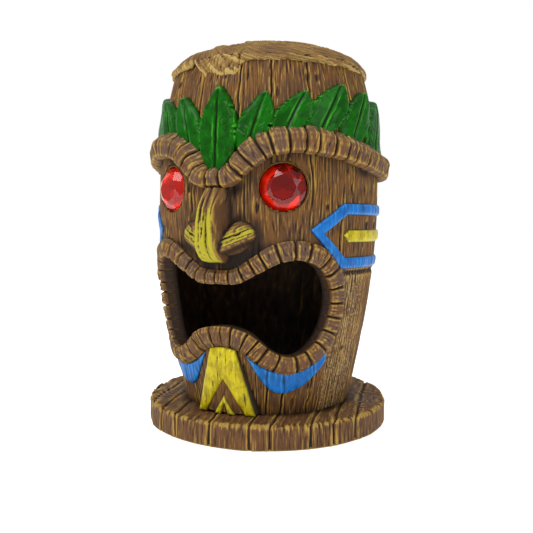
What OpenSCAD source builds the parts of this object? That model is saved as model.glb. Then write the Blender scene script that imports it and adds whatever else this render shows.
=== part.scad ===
// Tiki head ornament: a hollow barrel-shaped head on a round plank plinth, under a thatch cap.
// The relief pieces (brow, lips, nose, leaves, war paint, chin) seat on the barrel's curved face.
// Origin at the centre of the plinth's underside, +Z up, the face looks along -Y.
// Places on the barrel are given as [angle, height]: angle 0 is the middle of the face and
// positive angles turn towards +X.

/* [Plinth] */
// Diameter of the round plinth
plinth_d = 103; // [95:1:130]
// Thickness of the plinth
plinth_h = 9.5; // [6:0.5:14]
// Rounding of the plinth's upper and lower edges
plinth_round = 1.2; // [0.5:0.1:2]
// Height of the ring on the plinth that centres the barrel
register_h = 3; // [2:0.5:5]

/* [Barrel] */
// Outside radius where the barrel stands on the plinth
base_r = 35.5; // [32:0.5:43]
// Outside radius at the belly, level with the eyes
belly_r = 47; // [44:0.5:57]
// Outside radius at the top, under the cap
neck_r = 40.2; // [34:0.2:48]
// Thickness of the barrel's wall
wall = 5; // [3:0.5:7]
// Side gap between a ring and the bore that it sits in
fit_gap = 0.2; // [0.1:0.05:0.4]

/* [Heights, from the plinth upwards] */
// From the plinth's top to the lowest point of the mouth
chin_h = 24; // [20:0.5:32]
// From the lowest to the highest point of the mouth
mouth_h = 37.5; // [30:0.5:46]
// From the highest point of the mouth to the middle of the eyes
cheek_h = 27; // [26:0.5:36]
// From the middle of the eyes to the brow band's middle, at its valley over the nose
valley_h = 4; // [3:0.5:8]
// From the brow band's valley to the top of its arches
arch_h = 14; // [11.5:0.5:18]
// From the top of the brow's arches to the top of the barrel
forehead_h = 31; // [25:0.5:40]

/* [Cap] */
// How far the cap stands out past the barrel
cap_overhang = 1.2; // [0.8:0.1:2]
// How far the cap's skirt hangs below the top of the barrel
cap_skirt = 1.8; // [1:0.1:3]
// Rise of the dome above the top of the barrel
cap_rise = 11.5; // [9:0.5:16]
// Thickness of the dome
cap_wall = 5; // [3:0.5:7]
// Depth of the ring that locates the cap in the barrel
spigot_h = 4; // [3:0.5:6]
// How far the forelock hangs below the top of the barrel
forelock_drop = 6.6; // [4:0.2:9]

/* [Mouth and lips] */
// Half of the mouth's width, as an angle about the barrel's axis
mouth_half_angle = 57; // [45:1:62]
// Width of the lip band
lip_w = 7.3; // [6:0.1:9]
// How far the lip band stands out from the barrel
lip_t = 3.2; // [2:0.1:4.5]
// Number of blocks in the lip band
lip_blocks = 44; // [30:1:60]

/* [Brow] */
// Width of the brow band
brow_w = 11.5; // [9:0.5:14]
// How far the brow's ridge stands out from the barrel
brow_t = 5.4; // [4:0.2:7]
// Number of blocks in the brow band
brow_blocks = 37; // [25:2:49]
// Depth of the grooves between blocks
groove_depth = 0.9; // [0.4:0.1:1.5]

/* [Eyes] */
// Diameter of the faceted gems
gem_d = 18; // [14:0.5:20]
// Height of a gem above its flat back
gem_h = 5; // [3.5:0.5:7]
// Number of facets round a gem
gem_facets = 16; // [12:2:24]
// Side gap between a gem and its socket
gem_gap = 0.2; // [0.1:0.05:0.4]
// Depth of the socket that holds a gem
socket_depth = 1.4; // [1:0.1:2]
// Width of the raised rim around a socket
socket_rim = 1.6; // [1:0.1:2.2]
// Angle from the middle of the face to the middle of an eye
eye_angle = 31.5; // [29:0.5:36]
// Direction that a gem faces, from straight ahead
eye_turn = 22.5; // [18:0.5:31.5]

/* [Nose] */
// How far the ridge of the nose stands out from the barrel
nose_t = 11; // [7:0.5:14]
// Width of the ridge of the nose
nose_ridge_w = 7.2; // [5:0.2:9]
// Half of the nose's width at its wings
nose_half_w = 16; // [12:0.5:17]

/* [Leaves] */
// Thickness of a leaf
leaf_t = 2.4; // [1.5:0.1:3.5]

/* [Paint bands] */
// How far the cheek arrows, cheek bars and chin swooshes stand out from the barrel
paint_t = 1; // [0.6:0.1:1.5]
// Width of the arms of the cheek arrows
arrow_arm_w = 5; // [4:0.5:6]
// Height of the cheek arrows
arrow_h = 26; // [22:0.5:28]
// Height of the cheek bars
bar_h = 5.4; // [4:0.2:7]

/* [Chin] */
// How far the chin plate's face stands out from the barrel at the plinth
chin_t = 4.7; // [2.5:0.1:7]
// How far it stands out from the barrel level with the lowest point of the mouth
chin_top_t = 1.8; // [1.4:0.1:4]
// Half width of the chin plate at the plinth
chin_half_w = 13; // [10:0.5:15]
// Half width of the chin plate under the lip
chin_top_half_w = 6; // [4:0.5:7]
// How far the chevrons stand out from the chin plate
chevron_t = 1; // [0.6:0.1:1.5]

/* [Hidden] */
LEAF_PAIRS = 6;
SIDES = ["left", "right"];

// Clearance that keeps a cutting shape past the faces it cuts
past = 1;
// Fineness of the true circles
$fn = 96;

// Heights above the table
mouth_low_z = plinth_h + chin_h;
mouth_top_z = mouth_low_z + mouth_h;
eye_z = mouth_top_z + cheek_h;
valley_z = eye_z + valley_h;
arch_z = valley_z + arch_h;
barrel_top = arch_z + forehead_h;

// The cheek arrows and the barrel's widest place lie below the eyes
cheek_drop = 18;
belly_drop = 6;
cheek_z = eye_z - cheek_drop;
belly_z = eye_z - belly_drop;

// Swell of the barrel's side below and above its belly
lower_swell = 1.7;
upper_swell = 2.3;
barrel_steps = 9;

// Radius of the barrel's outer face at a height
function barrel_r(z) = z < belly_z
    ? belly_r - (belly_r - base_r) * pow((belly_z - z) / (belly_z - plinth_h), lower_swell)
    : belly_r - (belly_r - neck_r) * pow((z - belly_z) / (barrel_top - belly_z), upper_swell);

// Heights at which the barrel's profile has a corner
profile_z = concat(
    [for (i = [0:barrel_steps]) plinth_h + (belly_z - plinth_h) * i / barrel_steps],
    [for (i = [1:barrel_steps]) belly_z + (barrel_top - belly_z) * i / barrel_steps]
);

// Point at an angle and height, at a distance out from the barrel's face
function on_barrel(a, z, out) =
    [(barrel_r(z) + out) * sin(a), -(barrel_r(z) + out) * cos(a), z];

// Millimetres round the barrel for one degree at a height
function mm_per_degree(z) = barrel_r(z) * PI / 180;

// Smooth curve through four points, from the second to the third
function curve_step(a, b, c, d, t) =
    0.5 * (2 * b + (c - a) * t + (2 * a - 5 * b + 4 * c - d) * t * t
        + (3 * b - a - 3 * c + d) * t * t * t);

// Smooth open curve through a list of points
function open_curve(p, steps) = concat(
    [for (i = [0:len(p) - 2], k = [0:steps - 1])
        curve_step(p[max(i - 1, 0)], p[i], p[i + 1], p[min(i + 2, len(p) - 1)], k / steps)],
    [p[len(p) - 1]]
);

// Smooth closed curve through a list of points, which ends where it starts
function closed_curve(p, steps) = [for (i = [0:len(p) - 1], k = [0:steps - 1])
    curve_step(p[(i + len(p) - 1) % len(p)], p[i], p[(i + 1) % len(p)], p[(i + 2) % len(p)],
        k / steps)];

// Distance between two places on the barrel
function gap_mm(p, q) = norm([(q[0] - p[0]) * mm_per_degree((p[1] + q[1]) / 2), q[1] - p[1]]);

// Running length of a line of places on the barrel
function running(line) = [for (i = 0, s = 0; i < len(line);
    s = s + (i + 1 < len(line) ? gap_mm(line[i], line[i + 1]) : 0), i = i + 1) s];

// Half of the mouth's outline, from the top middle round the right corner to the bottom
// middle: [share of the half angle, share of the mouth's height]
mouth_shape = [
    [0, 0.75], [0.18, 0.76], [0.36, 0.87], [0.52, 0.97], [0.68, 1], [0.85, 0.93], [0.97, 0.74],
    [1, 0.52], [0.95, 0.27], [0.82, 0.08], [0.64, 0], [0.46, 0.07], [0.25, 0.25], [0, 0.31]
];
mouth_half = [for (p = mouth_shape) [p[0] * mouth_half_angle, mouth_low_z + p[1] * mouth_h]];
mouth_outline = closed_curve(concat(
    mouth_half, [for (i = [len(mouth_half) - 2:-1:1]) [-mouth_half[i][0], mouth_half[i][1]]]), 4);
mouth_mid_z = mouth_low_z + mouth_h / 2;

// Right half of the brow's middle line: [angle, share of the arch's height]
brow_shape = [
    [0, 0], [7, 0.05], [14, 0.47], [21, 0.8], [30, 0.96], [41, 1], [53, 0.93], [67, 0.78],
    [83, 0.61], [101, 0.5], [124, 0.44]
];
brow_half = [for (p = brow_shape) [p[0], valley_z + p[1] * arch_h]];
brow_line = open_curve(concat(
    [for (i = [len(brow_half) - 1:-1:1]) [-brow_half[i][0], brow_half[i][1]]], brow_half), 5);
// Smooth fall from 1 in the middle of the face to 0 at an angle
function fall(a, end) = cos(90 * min(abs(a) / end, 1));

// The brow band is narrower over the nose than along its arches
brow_pinch = 0.28;
brow_pinch_angle = 18;
brow_width = function(p) brow_w * (1 - brow_pinch * fall(p[0], brow_pinch_angle));

// The lip band is slimmer under the nose and fuller over the chin
lip_slimmer = 1.8;
lip_fuller = 1.2;
lip_change_angle = 30;
lip_width = function(p) lip_w
    + (p[1] > mouth_mid_z ? -lip_slimmer : lip_fuller) * fall(p[0], lip_change_angle);

// Cross-sections of the bands: [share of the width, share of the thickness]
lip_section = [[0, -0.4], [0, 0.7], [0.2, 1], [0.75, 0.88], [1, 0.4], [1, -0.4]];
brow_section = [
    [-0.46, -0.3], [-0.47, 0.45], [-0.38, 0.82], [0.02, 1], [0.2, 0.9], [0.47, 0.22], [0.5, -0.3]
];
// Share of a block's length that its groove takes, and how much the band narrows there
groove_share = 0.2;
groove_pinch = 0.04;

// Place along a line, by running length
function along(line, lengths, s) = [
    lookup(s, [for (i = [0:len(line) - 1]) [lengths[i], line[i][0]]]),
    lookup(s, [for (i = [0:len(line) - 1]) [lengths[i], line[i][1]]])
];

// Running lengths of the rings of a band with blocks: two at each block's ends and one in
// each groove, where depth is 1
function block_stops(total, blocks, closed) = [
    for (k = [0:blocks - 1], e = [[0, 1], [groove_share / 2, 0], [1 - groove_share / 2, 0]])
        [(k + e[0]) * total / blocks, (k == 0 && e[0] == 0 && !closed) ? 0 : e[1]],
    if (!closed) [total, 0]
];

// Reach of the line, each way, that sets the direction of a ring
ring_reach = 2.5;

// Rings of a band: the section set square to a line at each stop along it
function band_rings(line, closed, blocks, wide, thick, section) =
    let (lengths = running(line), total = lengths[len(lengths) - 1])
    [for (stop = block_stops(total, blocks, closed))
        let (back = stop[0] - ring_reach, on = stop[0] + ring_reach,
            p = along(line, lengths, stop[0]),
            a = along(line, lengths, closed ? (back + total) % total : max(back, 0)),
            b = along(line, lengths, closed ? on % total : min(on, total)),
            k = mm_per_degree(p[1]),
            run = [(b[0] - a[0]) * k, b[1] - a[1]],
            side = [-run[1], run[0]] / norm(run))
        [for (q = section) let (u = q[0] * wide(p) * (1 - groove_pinch * stop[1]))
            on_barrel(p[0] + side[0] * u / k, p[1] + side[1] * u,
                q[1] * thick - (q[1] > 0 ? stop[1] * groove_depth : 0))]];

// Middle of a list of points
function mean(points) = [for (c = [0:2]) [for (p = points) p[c]] * [for (p = points) 1]]
    / len(points);

// Closed mesh through a list of rings, with a fan of triangles over each open end
module skin(rings, closed) {
    n = len(rings);
    m = len(rings[0]);
    spans = closed ? n : n - 1;
    sides = [for (i = [0:spans - 1], j = [0:m - 1])
        let (a = i * m + j, b = i * m + (j + 1) % m,
            c = ((i + 1) % n) * m + (j + 1) % m, d = ((i + 1) % n) * m + j)
        each [[a, b, c], [a, c, d]]];
    ends = closed ? [] : [for (j = [0:m - 1])
        each [[n * m, (j + 1) % m, j],
            [n * m + 1, (n - 1) * m + j, (n - 1) * m + (j + 1) % m]]];
    polyhedron(points = concat([for (r = rings) each r],
        closed ? [] : [mean(rings[0]), mean(rings[n - 1])]),
        faces = concat(sides, ends), convexity = 10);
}

// Solid of revolution from the barrel's profile, moved out by a distance
module barrel_solid(out) {
    rotate_extrude() polygon(concat(
        [[0, plinth_h]], [for (z = profile_z) [barrel_r(z) + out, z]], [[0, barrel_top]]));
}

// Layer on the barrel's face, between two distances out from it
module layer(inner, outer) {
    rotate_extrude() polygon(concat(
        [for (z = profile_z) [barrel_r(z) + outer, z]],
        [for (i = [len(profile_z) - 1:-1:0]) [barrel_r(profile_z[i]) + inner, profile_z[i]]]));
}

// Wedge from inside the wall outwards, whose sides are square to the barrel's face all round.
// Its outline runs clockwise, as seen from outside, and can all be seen from its middle.
wedge_outs = [-wall - past, 0, wall, 2 * belly_r];
module wedge(outline) {
    skin([for (out = wedge_outs) [for (p = outline) on_barrel(p[0], p[1], out)]], false);
}

// Prism along Y from an outline of [x, z]
module face_prism(outline) {
    rotate([90, 0, 0]) linear_extrude(belly_r + nose_t + past) polygon(outline);
}

// Mirror image for the left side
module on_side(side) {
    if (side == "left") mirror([1, 0, 0]) children();
    else children();
}

// Frame of an eye on the right side: origin in the middle of the gem's back, +Z out of it
eye_sink = 2.3;
eye_reach = belly_r - eye_sink;
module at_eye() {
    translate([eye_reach * sin(eye_angle), -eye_reach * cos(eye_angle), eye_z])
        rotate([0, 0, eye_turn]) rotate([90, 0, 0]) children();
}

// Outer shape of the barrel with its raised eye rims and with no hollow
module barrel_outside() {
    barrel_solid(0);
    for (side = SIDES) on_side(side) at_eye()
        translate([0, 0, -wall]) cylinder(r = gem_d / 2 + gem_gap + socket_rim,
            h = wall + socket_depth);
}

module plinth() {
    color("saddlebrown") {
        rotate_extrude() polygon([
            [0, 0], [plinth_d / 2 - plinth_round, 0], [plinth_d / 2, plinth_round],
            [plinth_d / 2, plinth_h - plinth_round], [plinth_d / 2 - plinth_round, plinth_h],
            [0, plinth_h]]);
        translate([0, 0, plinth_h - past])
            cylinder(r = base_r - wall - fit_gap, h = register_h + past);
    }
}

module barrel() {
    color("sienna") difference() {
        barrel_outside();
        rotate_extrude() polygon(concat(
            [[0, plinth_h - past], [base_r - wall, plinth_h - past]],
            [for (z = profile_z) [barrel_r(z) - wall, z]],
            [[neck_r - wall, barrel_top + past], [0, barrel_top + past]]));
        wedge(mouth_outline);
        for (side = SIDES) on_side(side) at_eye()
            cylinder(r = gem_d / 2 + gem_gap, h = gem_h);
    }
}

// Height of the dome at a share of its radius: flat on top, with round shoulders
dome_steps = 12;
dome_flat = 2.6;
dome_shoulder = 0.62;
function dome_z(share) = barrel_top + cap_rise * pow(1 - pow(share, dome_flat), dome_shoulder);
rim_r = neck_r + cap_overhang;
rim_edge = 0.4;

// Outline of the forelock: [angle, share of its drop]
forelock_shape = [[-21, -0.3], [-17, 0.4], [-12, 0.95], [-4, 1], [5, 0.94], [9, 0.5], [13, -0.3]];

module thatch_cap() {
    inner_share = (neck_r - wall - fit_gap - cap_wall / 2) / rim_r;
    color("goldenrod") difference() {
        union() {
            rotate_extrude() polygon(concat(
                [[0, barrel_top - cap_skirt], [rim_r - rim_edge, barrel_top - cap_skirt]],
                [for (i = [dome_steps:-1:0]) [rim_r * i / dome_steps, dome_z(i / dome_steps)]]));
            intersection() {
                layer(0, cap_overhang);
                face_prism([for (p = forelock_shape)
                    [neck_r * sin(p[0]), barrel_top - p[1] * forelock_drop]]);
            }
        }
        barrel_solid(0);
        rotate_extrude() polygon(concat(
            [[0, barrel_top - past], [rim_r * inner_share, barrel_top - past]],
            [for (i = [dome_steps:-1:0]) [rim_r * inner_share * i / dome_steps,
                dome_z(inner_share * i / dome_steps) - cap_wall]]));
    }
    color("goldenrod") translate([0, 0, barrel_top - spigot_h]) difference() {
        cylinder(r = neck_r - wall - fit_gap, h = spigot_h);
        translate([0, 0, -past])
            cylinder(r = neck_r - wall - fit_gap - cap_wall / 2, h = spigot_h + 2 * past);
    }
}

// Rings of the two bands, for a cross-section
function brow_rings(section) =
    band_rings(brow_line, false, brow_blocks, brow_width, brow_t, section);
function lip_rings(section) = band_rings(
    concat(mouth_outline, [mouth_outline[0]]), true, lip_blocks, lip_width, lip_t, section);

// Rings of plain walls over the bands' footprints, which trim what meets them
brow_walls = brow_rings([[-0.5, -0.6], [-0.5, 2], [0.5, 2], [0.5, -0.6]]);
lip_walls = lip_rings([[0, -0.8], [0, 3], [1, 3], [1, -0.8]]);
function ring_angle(ring) = atan2(mean(ring)[0], -mean(ring)[1]);

// Wall over the brow within a reach of an angle
module brow_wall(angle, reach) {
    skin([for (r = brow_walls) if (abs(ring_angle(r) - angle) < reach) r], false);
}

// Wall over the lips between two shares of the way round: 0 is the top middle and 0.5 the
// bottom middle, by way of the right corner
lip_right_corner = 0.24;
lip_bottom = 0.5;
lip_chin_reach = 0.12;
module lip_wall(from, to) {
    n = len(lip_walls);
    skin([for (i = [floor(n * from):floor(n * to)]) lip_walls[i]], false);
}

module brow_band() {
    color("peru") difference() {
        skin(brow_rings(brow_section), false);
        barrel_outside();
    }
}

module lip_band() {
    color("peru") difference() {
        skin(lip_rings(lip_section), true);
        barrel_solid(0);
    }
}

// Nose: a ridge that grows out from under the brow, and two wings swept up and outwards
nose_clear = 2;
nose_top_z = valley_z - brow_w / 2;
nose_tip_z = mouth_half[0][1] + lip_w + nose_clear;
nose_h = nose_top_z - nose_tip_z;
// Side view of the ridge: [share of the nose's height, share of how far it stands out]
nose_ridge = [[1, 0.35], [0.75, 0.88], [0.55, 0.98], [0.3, 1], [0.12, 0.86], [0, 0.6]];

nose_top_narrow = 0.75;
ridge_edge_r = 1.6;
ridge_root_depth = 3;
ridge_root_spread = 1.2;
// Wing: [share of the half width, how far out, share of the nose's height, radius of its edge]
nose_wing = [[0.66, -0.5, 0.62, 4], [0.81, -0.6, 0.36, 3], [0.55, -1.5, 0.14, 2]];
nose_flank = [[0.1, 0.62], [0.42, 0.6]];
nose_flank_r = 2.2;

// Beads at the ridge's two edges and at its two roots, at a share of the nose's height
module ridge_beads(share, out, half_w) {
    z = nose_tip_z + nose_h * share;
    for (side = [-1, 1]) {
        translate([side * (half_w - ridge_edge_r), -(barrel_r(z) + nose_t * out - ridge_edge_r), z])
            sphere(r = ridge_edge_r, $fn = 16);
        translate([side * half_w * ridge_root_spread, -(barrel_r(z) - ridge_root_depth), z])
            sphere(r = ridge_edge_r, $fn = 12);
    }
}

module nose() {
    half_w = nose_ridge_w / 2;
    color("darkkhaki") difference() {
        union() {
            for (i = [0:2:4]) hull() for (q = [for (k = [i:min(i + 2, len(nose_ridge) - 1)]) nose_ridge[k]])
                ridge_beads(q[0], q[1], half_w * (q[0] == 1 ? nose_top_narrow : 1));
            for (side = [-1, 1]) hull() {
                for (q = nose_flank)
                    translate([side * half_w,
                        -(barrel_r(nose_tip_z) + nose_t * q[1] - nose_flank_r),
                        nose_tip_z + nose_h * q[0]]) sphere(r = nose_flank_r, $fn = 16);
                for (q = nose_wing)
                    translate(on_barrel(0, nose_tip_z + nose_h * q[2], q[1] - q[3])
                        + [side * nose_half_w * q[0], 0, 0]) sphere(r = q[3], $fn = 16);
            }
        }
        barrel_solid(0);
    }
}

// Leaves, from the one over the nose outwards: angles of root, tip and half width, and how
// far the tip stays below the top of the barrel
leaf_shapes = [
    [0, 0, 9.8, 10.5], [14, 23, 8.5, 13], [31, 42, 9, 12.5], [47, 63, 11, 8.5],
    [66, 82, 10.5, 9.5], [86, 102, 10, 10.5], [106, 120, 9, 13]
];
leaf_steps = 9;
// How much a leaf fills out towards its tip, how full its sides are, and how late it bends over
leaf_fill = 0.85;
leaf_side = 0.85;
leaf_bend = 1.3;
// Angle each side of a leaf's middle over which the brow trims it
leaf_reach = 24;

// Outline of a leaf: pointed at both ends and widest a little above its middle
function leaf_outline(n) =
    let (f = leaf_shapes[n], root_z = lookup(f[0], brow_half), tip_z = barrel_top - f[3])
    [for (way = [-1, 1], i = [0:leaf_steps - 1])
        let (t = way < 0 ? i / leaf_steps : 1 - i / leaf_steps,
            bulge = f[2] * pow(sin(180 * pow(t, leaf_fill)), leaf_side))
        [f[0] + (f[1] - f[0]) * pow(t, leaf_bend) + way * bulge, root_z + (tip_z - root_z) * t]];

module leaf(n) {
    color("forestgreen") difference() {
        intersection() {
            layer(0, leaf_t);
            wedge(leaf_outline(n));
        }
        brow_wall((leaf_shapes[n][0] + leaf_shapes[n][1]) / 2, leaf_reach);
        if (n > 0) wedge(leaf_outline(n - 1));
        if (n == 1) mirror([1, 0, 0]) wedge(leaf_outline(n));
    }
}

// Gem: a flat back, a thin girdle, two rings of sloping facets and a flat table:
// [share of the radius, share of the height]
gem_profile = [[1, 0], [1, 0.2], [0.84, 0.5], [0.52, 1]];
module gem() {
    color("red") at_eye() skin([for (q = gem_profile) [for (i = [0:gem_facets - 1])
        let (a = -360 * i / gem_facets)
        [q[0] * cos(a) * gem_d / 2, q[0] * sin(a) * gem_d / 2, q[1] * gem_h]]], false);
}

// Wedge whose outline is given as [angle, height above the middle of the cheek]
module cheek_wedge(outline) {
    wedge([for (p = outline) [p[0], cheek_z + p[1]]]);
}

// Outline of a shape that points at the nose: its tip, then a band of a half height that runs
// back round the barrel from one angle to another
back_steps = 3;
function pointed(tip, from, to, half_h) = concat([tip],
    [for (i = [0:back_steps]) [from + (to - from) * i / back_steps, half_h]],
    [for (i = [back_steps:-1:0]) [from + (to - from) * i / back_steps, -half_h]]);

// Cheek arrow: a tip, and two arms that run back round the barrel
arrow_tip = [43.5, 2.5];
arrow_corner_angle = 62;
arrow_end_angle = 112;
// From the arrow's outer tip to its inner one, and the angle from its outer to its inner corners
arrow_tip_depth = [8.7, -1.5];
arrow_corner_depth = 2.5;
module cheek_arrow() {
    h = arrow_h / 2;
    color("dodgerblue") difference() {
        intersection() {
            layer(0, paint_t);
            cheek_wedge(pointed(arrow_tip, arrow_corner_angle, arrow_end_angle, h));
        }
        cheek_wedge(pointed(arrow_tip + arrow_tip_depth,
            arrow_corner_angle + arrow_corner_depth, arrow_end_angle + arrow_tip_depth[0],
            h - arrow_arm_w));
    }
}

// Cheek bar: a bar with a blunt tip between the arms of the arrow
bar_tip = [62, 0.5];
bar_taper_angle = 4;
module cheek_bar() {
    color("gold") intersection() {
        layer(0, paint_t);
        cheek_wedge(pointed(bar_tip, bar_tip[0] + bar_taper_angle, arrow_end_angle, bar_h / 2));
    }
}

// Chin swoosh: a crescent under the lip, lowest below the mouth's lobe:
// [angle, height above the lowest point of the mouth]
swoosh_shape = [
    [9, 4.5], [20, 1.5], [35, -2.5], [48, 0], [56, 4], [59, -3], [49, -11], [40, -14.5],
    [32, -15.5], [25, -13.5], [19, -8.5], [14, -2.5]
];
module chin_swoosh() {
    color("dodgerblue") difference() {
        intersection() {
            layer(0, paint_t);
            wedge([for (p = swoosh_shape) [p[0], p[1] + mouth_low_z]]);
        }
        lip_wall(lip_right_corner, lip_bottom);
        chin_block(chin_half_w, chin_top_half_w, 2 * paint_t);
    }
}

// The chin's face leans out a little towards its top, which is hidden under the lip
chin_top_z = mouth_half[len(mouth_half) - 1][1] - lip_w / 2;
chin_z = concat([for (z = profile_z) if (z < chin_top_z) z], [chin_top_z]);
function profile_r(z) = lookup(z, [for (q = profile_z) [q, barrel_r(q)]]);
chin_low_r = base_r + chin_t;
chin_high_r = profile_r(mouth_low_z) + chin_top_t;
function chin_face(z) = chin_low_r + (chin_high_r - chin_low_r) * (z - plinth_h) / chin_h;

// Layer over the chin's face, between two distances out from it
module chin_layer(inner, outer) {
    rotate_extrude() polygon([
        [chin_face(plinth_h) + inner, plinth_h], [chin_face(plinth_h) + outer, plinth_h],
        [chin_face(chin_top_z) + outer, chin_top_z], [chin_face(chin_top_z) + inner, chin_top_z]]);
}

// Layer from the barrel's face out to the chin's face and past it
module chin_fill(out) {
    rotate_extrude() polygon(concat(
        [for (z = chin_z) [profile_r(z), z]],
        [[chin_face(chin_top_z) + out, chin_top_z], [chin_face(plinth_h) + out, plinth_h]]));
}

// Trapezoid of the chin, from the plinth up under the lip; its sides turn upright at the knee
chin_knee_z = mouth_low_z + 2;
module chin_prism(half_w, top_half_w) {
    face_prism([[-half_w, 0], [-half_w, plinth_h], [-top_half_w, chin_knee_z],
        [-top_half_w, mouth_top_z], [top_half_w, mouth_top_z], [top_half_w, chin_knee_z],
        [half_w, plinth_h], [half_w, 0]]);
}

module chin_block(half_w, top_half_w, out) {
    intersection() {
        chin_fill(out);
        chin_prism(half_w, top_half_w);
    }
}

module chin_plate() {
    color("sienna") difference() {
        chin_block(chin_half_w, chin_top_half_w, 0);
        lip_wall(lip_bottom - lip_chin_reach, lip_bottom + lip_chin_reach);
    }
}

// Large chevron: two legs that meet under the lip and stand on the plinth
leg_w = 4.3;
large_apex = 0.58;
module chin_chevron_large() {
    inner = chin_half_w - leg_w;
    color("yellow") difference() {
        intersection() {
            chin_layer(0, chevron_t);
            chin_prism(chin_half_w, chin_top_half_w);
        }
        face_prism([[-inner, 0], [-inner, plinth_h], [0, plinth_h + chin_h * large_apex],
            [inner, plinth_h], [inner, 0]]);
        lip_wall(lip_bottom - lip_chin_reach, lip_bottom + lip_chin_reach);
    }
}

// Small chevron, between the legs of the large one: half widths and heights of its outer and
// inner edges, with the heights as shares of the chin's
small_outer = [4.4, 0.33];
small_inner = [2, 0.19];
module chin_chevron_small() {
    color("yellow") intersection() {
        chin_layer(0, chevron_t);
        difference() {
            face_prism([[-small_outer[0], plinth_h], [0, plinth_h + chin_h * small_outer[1]],
                [small_outer[0], plinth_h]]);
            face_prism([[-small_inner[0], plinth_h - past],
                [0, plinth_h + chin_h * small_inner[1]], [small_inner[0], plinth_h - past]]);
        }
    }
}

plinth();
barrel();
thatch_cap();
brow_band();
lip_band();
nose();
chin_plate();
chin_chevron_large();
chin_chevron_small();
leaf(0);  // leaf_front
for (side = SIDES, n = [1:LEAF_PAIRS])
    on_side(side) leaf(n);
for (side = SIDES) {
    on_side(side) gem();
    on_side(side) cheek_arrow();
    on_side(side) cheek_bar();
    on_side(side) chin_swoosh();
}
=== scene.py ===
"""The looks of a painted cast-resin tiki head ornament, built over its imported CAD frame.

Lengths inside the classes are millimetres; a mesh is turned to metres when it is made. Places
on the barrel are an angle in degrees and a height: angle 0 is the middle of the face, and
positive angles turn towards +X. Side pieces are built for the right side and mirrored.
"""

import logging
import math
from dataclasses import dataclass, field
from enum import Enum
from typing import Callable, Sequence

import bpy
import numpy as np
from mathutils import Matrix, Vector


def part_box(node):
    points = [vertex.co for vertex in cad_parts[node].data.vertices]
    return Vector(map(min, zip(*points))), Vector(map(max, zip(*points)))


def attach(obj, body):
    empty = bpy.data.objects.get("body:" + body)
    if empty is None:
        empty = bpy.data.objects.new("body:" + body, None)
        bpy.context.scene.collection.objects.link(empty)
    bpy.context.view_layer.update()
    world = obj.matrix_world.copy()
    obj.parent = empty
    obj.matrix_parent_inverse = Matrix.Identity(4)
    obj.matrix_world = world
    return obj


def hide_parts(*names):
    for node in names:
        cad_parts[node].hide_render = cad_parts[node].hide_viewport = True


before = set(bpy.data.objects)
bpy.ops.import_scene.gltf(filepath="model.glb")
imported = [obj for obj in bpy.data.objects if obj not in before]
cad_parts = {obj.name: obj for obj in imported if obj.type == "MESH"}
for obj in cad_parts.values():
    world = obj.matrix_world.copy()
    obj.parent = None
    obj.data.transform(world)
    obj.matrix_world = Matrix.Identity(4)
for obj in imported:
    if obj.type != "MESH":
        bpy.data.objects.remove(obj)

Array = np.ndarray
Outline = Sequence[tuple[float, float]]
Field = Callable[[Array, Array], Array]
Material, Socket, Tree = bpy.types.Material, bpy.types.NodeSocket, bpy.types.NodeTree
MM = 0.001
LOG = logging.getLogger("tiki_head")


class Slot(Enum):
    """The record's material slots."""

    PLINTH = "plinth_resin"
    BARREL = "barrel_resin"
    THATCH = "thatch_resin"
    BAND = "band_resin"
    NOSE = "nose_resin"
    GREEN = "green_enamel"
    BLUE = "blue_enamel"
    YELLOW = "yellow_enamel"
    RED = "red_acrylic"


class Side(Enum):
    """The two sides of the face."""

    LEFT = "left"
    RIGHT = "right"

    @property
    def seed(self) -> int:
        """Seed that makes the two sides' carving differ."""
        return 0 if self is Side.RIGHT else 50


# ---- numbers


def lattice(ix: Array, iy: Array, seed: int) -> Array:
    """Pseudo-random numbers from 0 to 1 at the whole places of a lattice."""
    h = (ix * 374761393 + iy * 668265263 + seed * 974634777) & 0xFFFFFFFF
    h = ((h ^ (h >> 13)) * 1274126177) & 0xFFFFFFFF
    return ((h ^ (h >> 16)) & 0xFFFF) / 65535.0


def noise(x: Array, y: Array | float, seed: int = 0, wrap: int = 0) -> Array:
    """Smooth noise from -1 to 1 over cells of size 1.

    Args:
        x, y: Places, in cells.
        seed: Picks the pattern.
        wrap: Whole number of cells after which x repeats, or 0.
    """
    x, y = np.broadcast_arrays(np.asarray(x, float), np.asarray(y, float))
    ix, iy = np.floor(x).astype(np.int64), np.floor(y).astype(np.int64)
    fx, fy = x - ix, y - iy
    sx, sy = fx * fx * (3 - 2 * fx), fy * fy * (3 - 2 * fy)
    here, there = (ix % wrap, (ix + 1) % wrap) if wrap else (ix, ix + 1)
    low, high = (lattice(here, iy + up, seed) * (1 - sx) + lattice(there, iy + up, seed) * sx
                 for up in (0, 1))
    return 2 * (low * (1 - sy) + high * sy) - 1


def fibres(x: Array, y: Array, seed: int, wrap: int = 0, gain: float = 2.2) -> Array:
    """Fibres that run along y: 0 in the cut between two and 1 on them."""
    return np.minimum(np.abs(noise(x, y, seed, wrap)) * gain, 1)


def dip(d: Array, width: float) -> Array:
    """Bell curve: 1 where d is 0, and near 0 from two widths away."""
    return np.exp(-((d / width) ** 2))


def ramp(x: Array, low: float, high: float) -> Array:
    """Smooth step from 0 at low to 1 at high."""
    t = np.clip((np.asarray(x, float) - low) / (high - low), 0, 1)
    return t * t * (3 - 2 * t)


def once_round(columns: int) -> Array:
    """Angles once round the axis, from the back, as a column."""
    return (np.arange(columns) / columns * 360 - 180)[:, None]


def around(a: Array, z: Array, r: Array) -> Array:
    """Points at an angle, a height and a distance from the axis."""
    a, z, r = np.broadcast_arrays(np.radians(a), z, r)
    return np.stack([r * np.sin(a), -r * np.cos(a), z], axis=-1)


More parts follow.
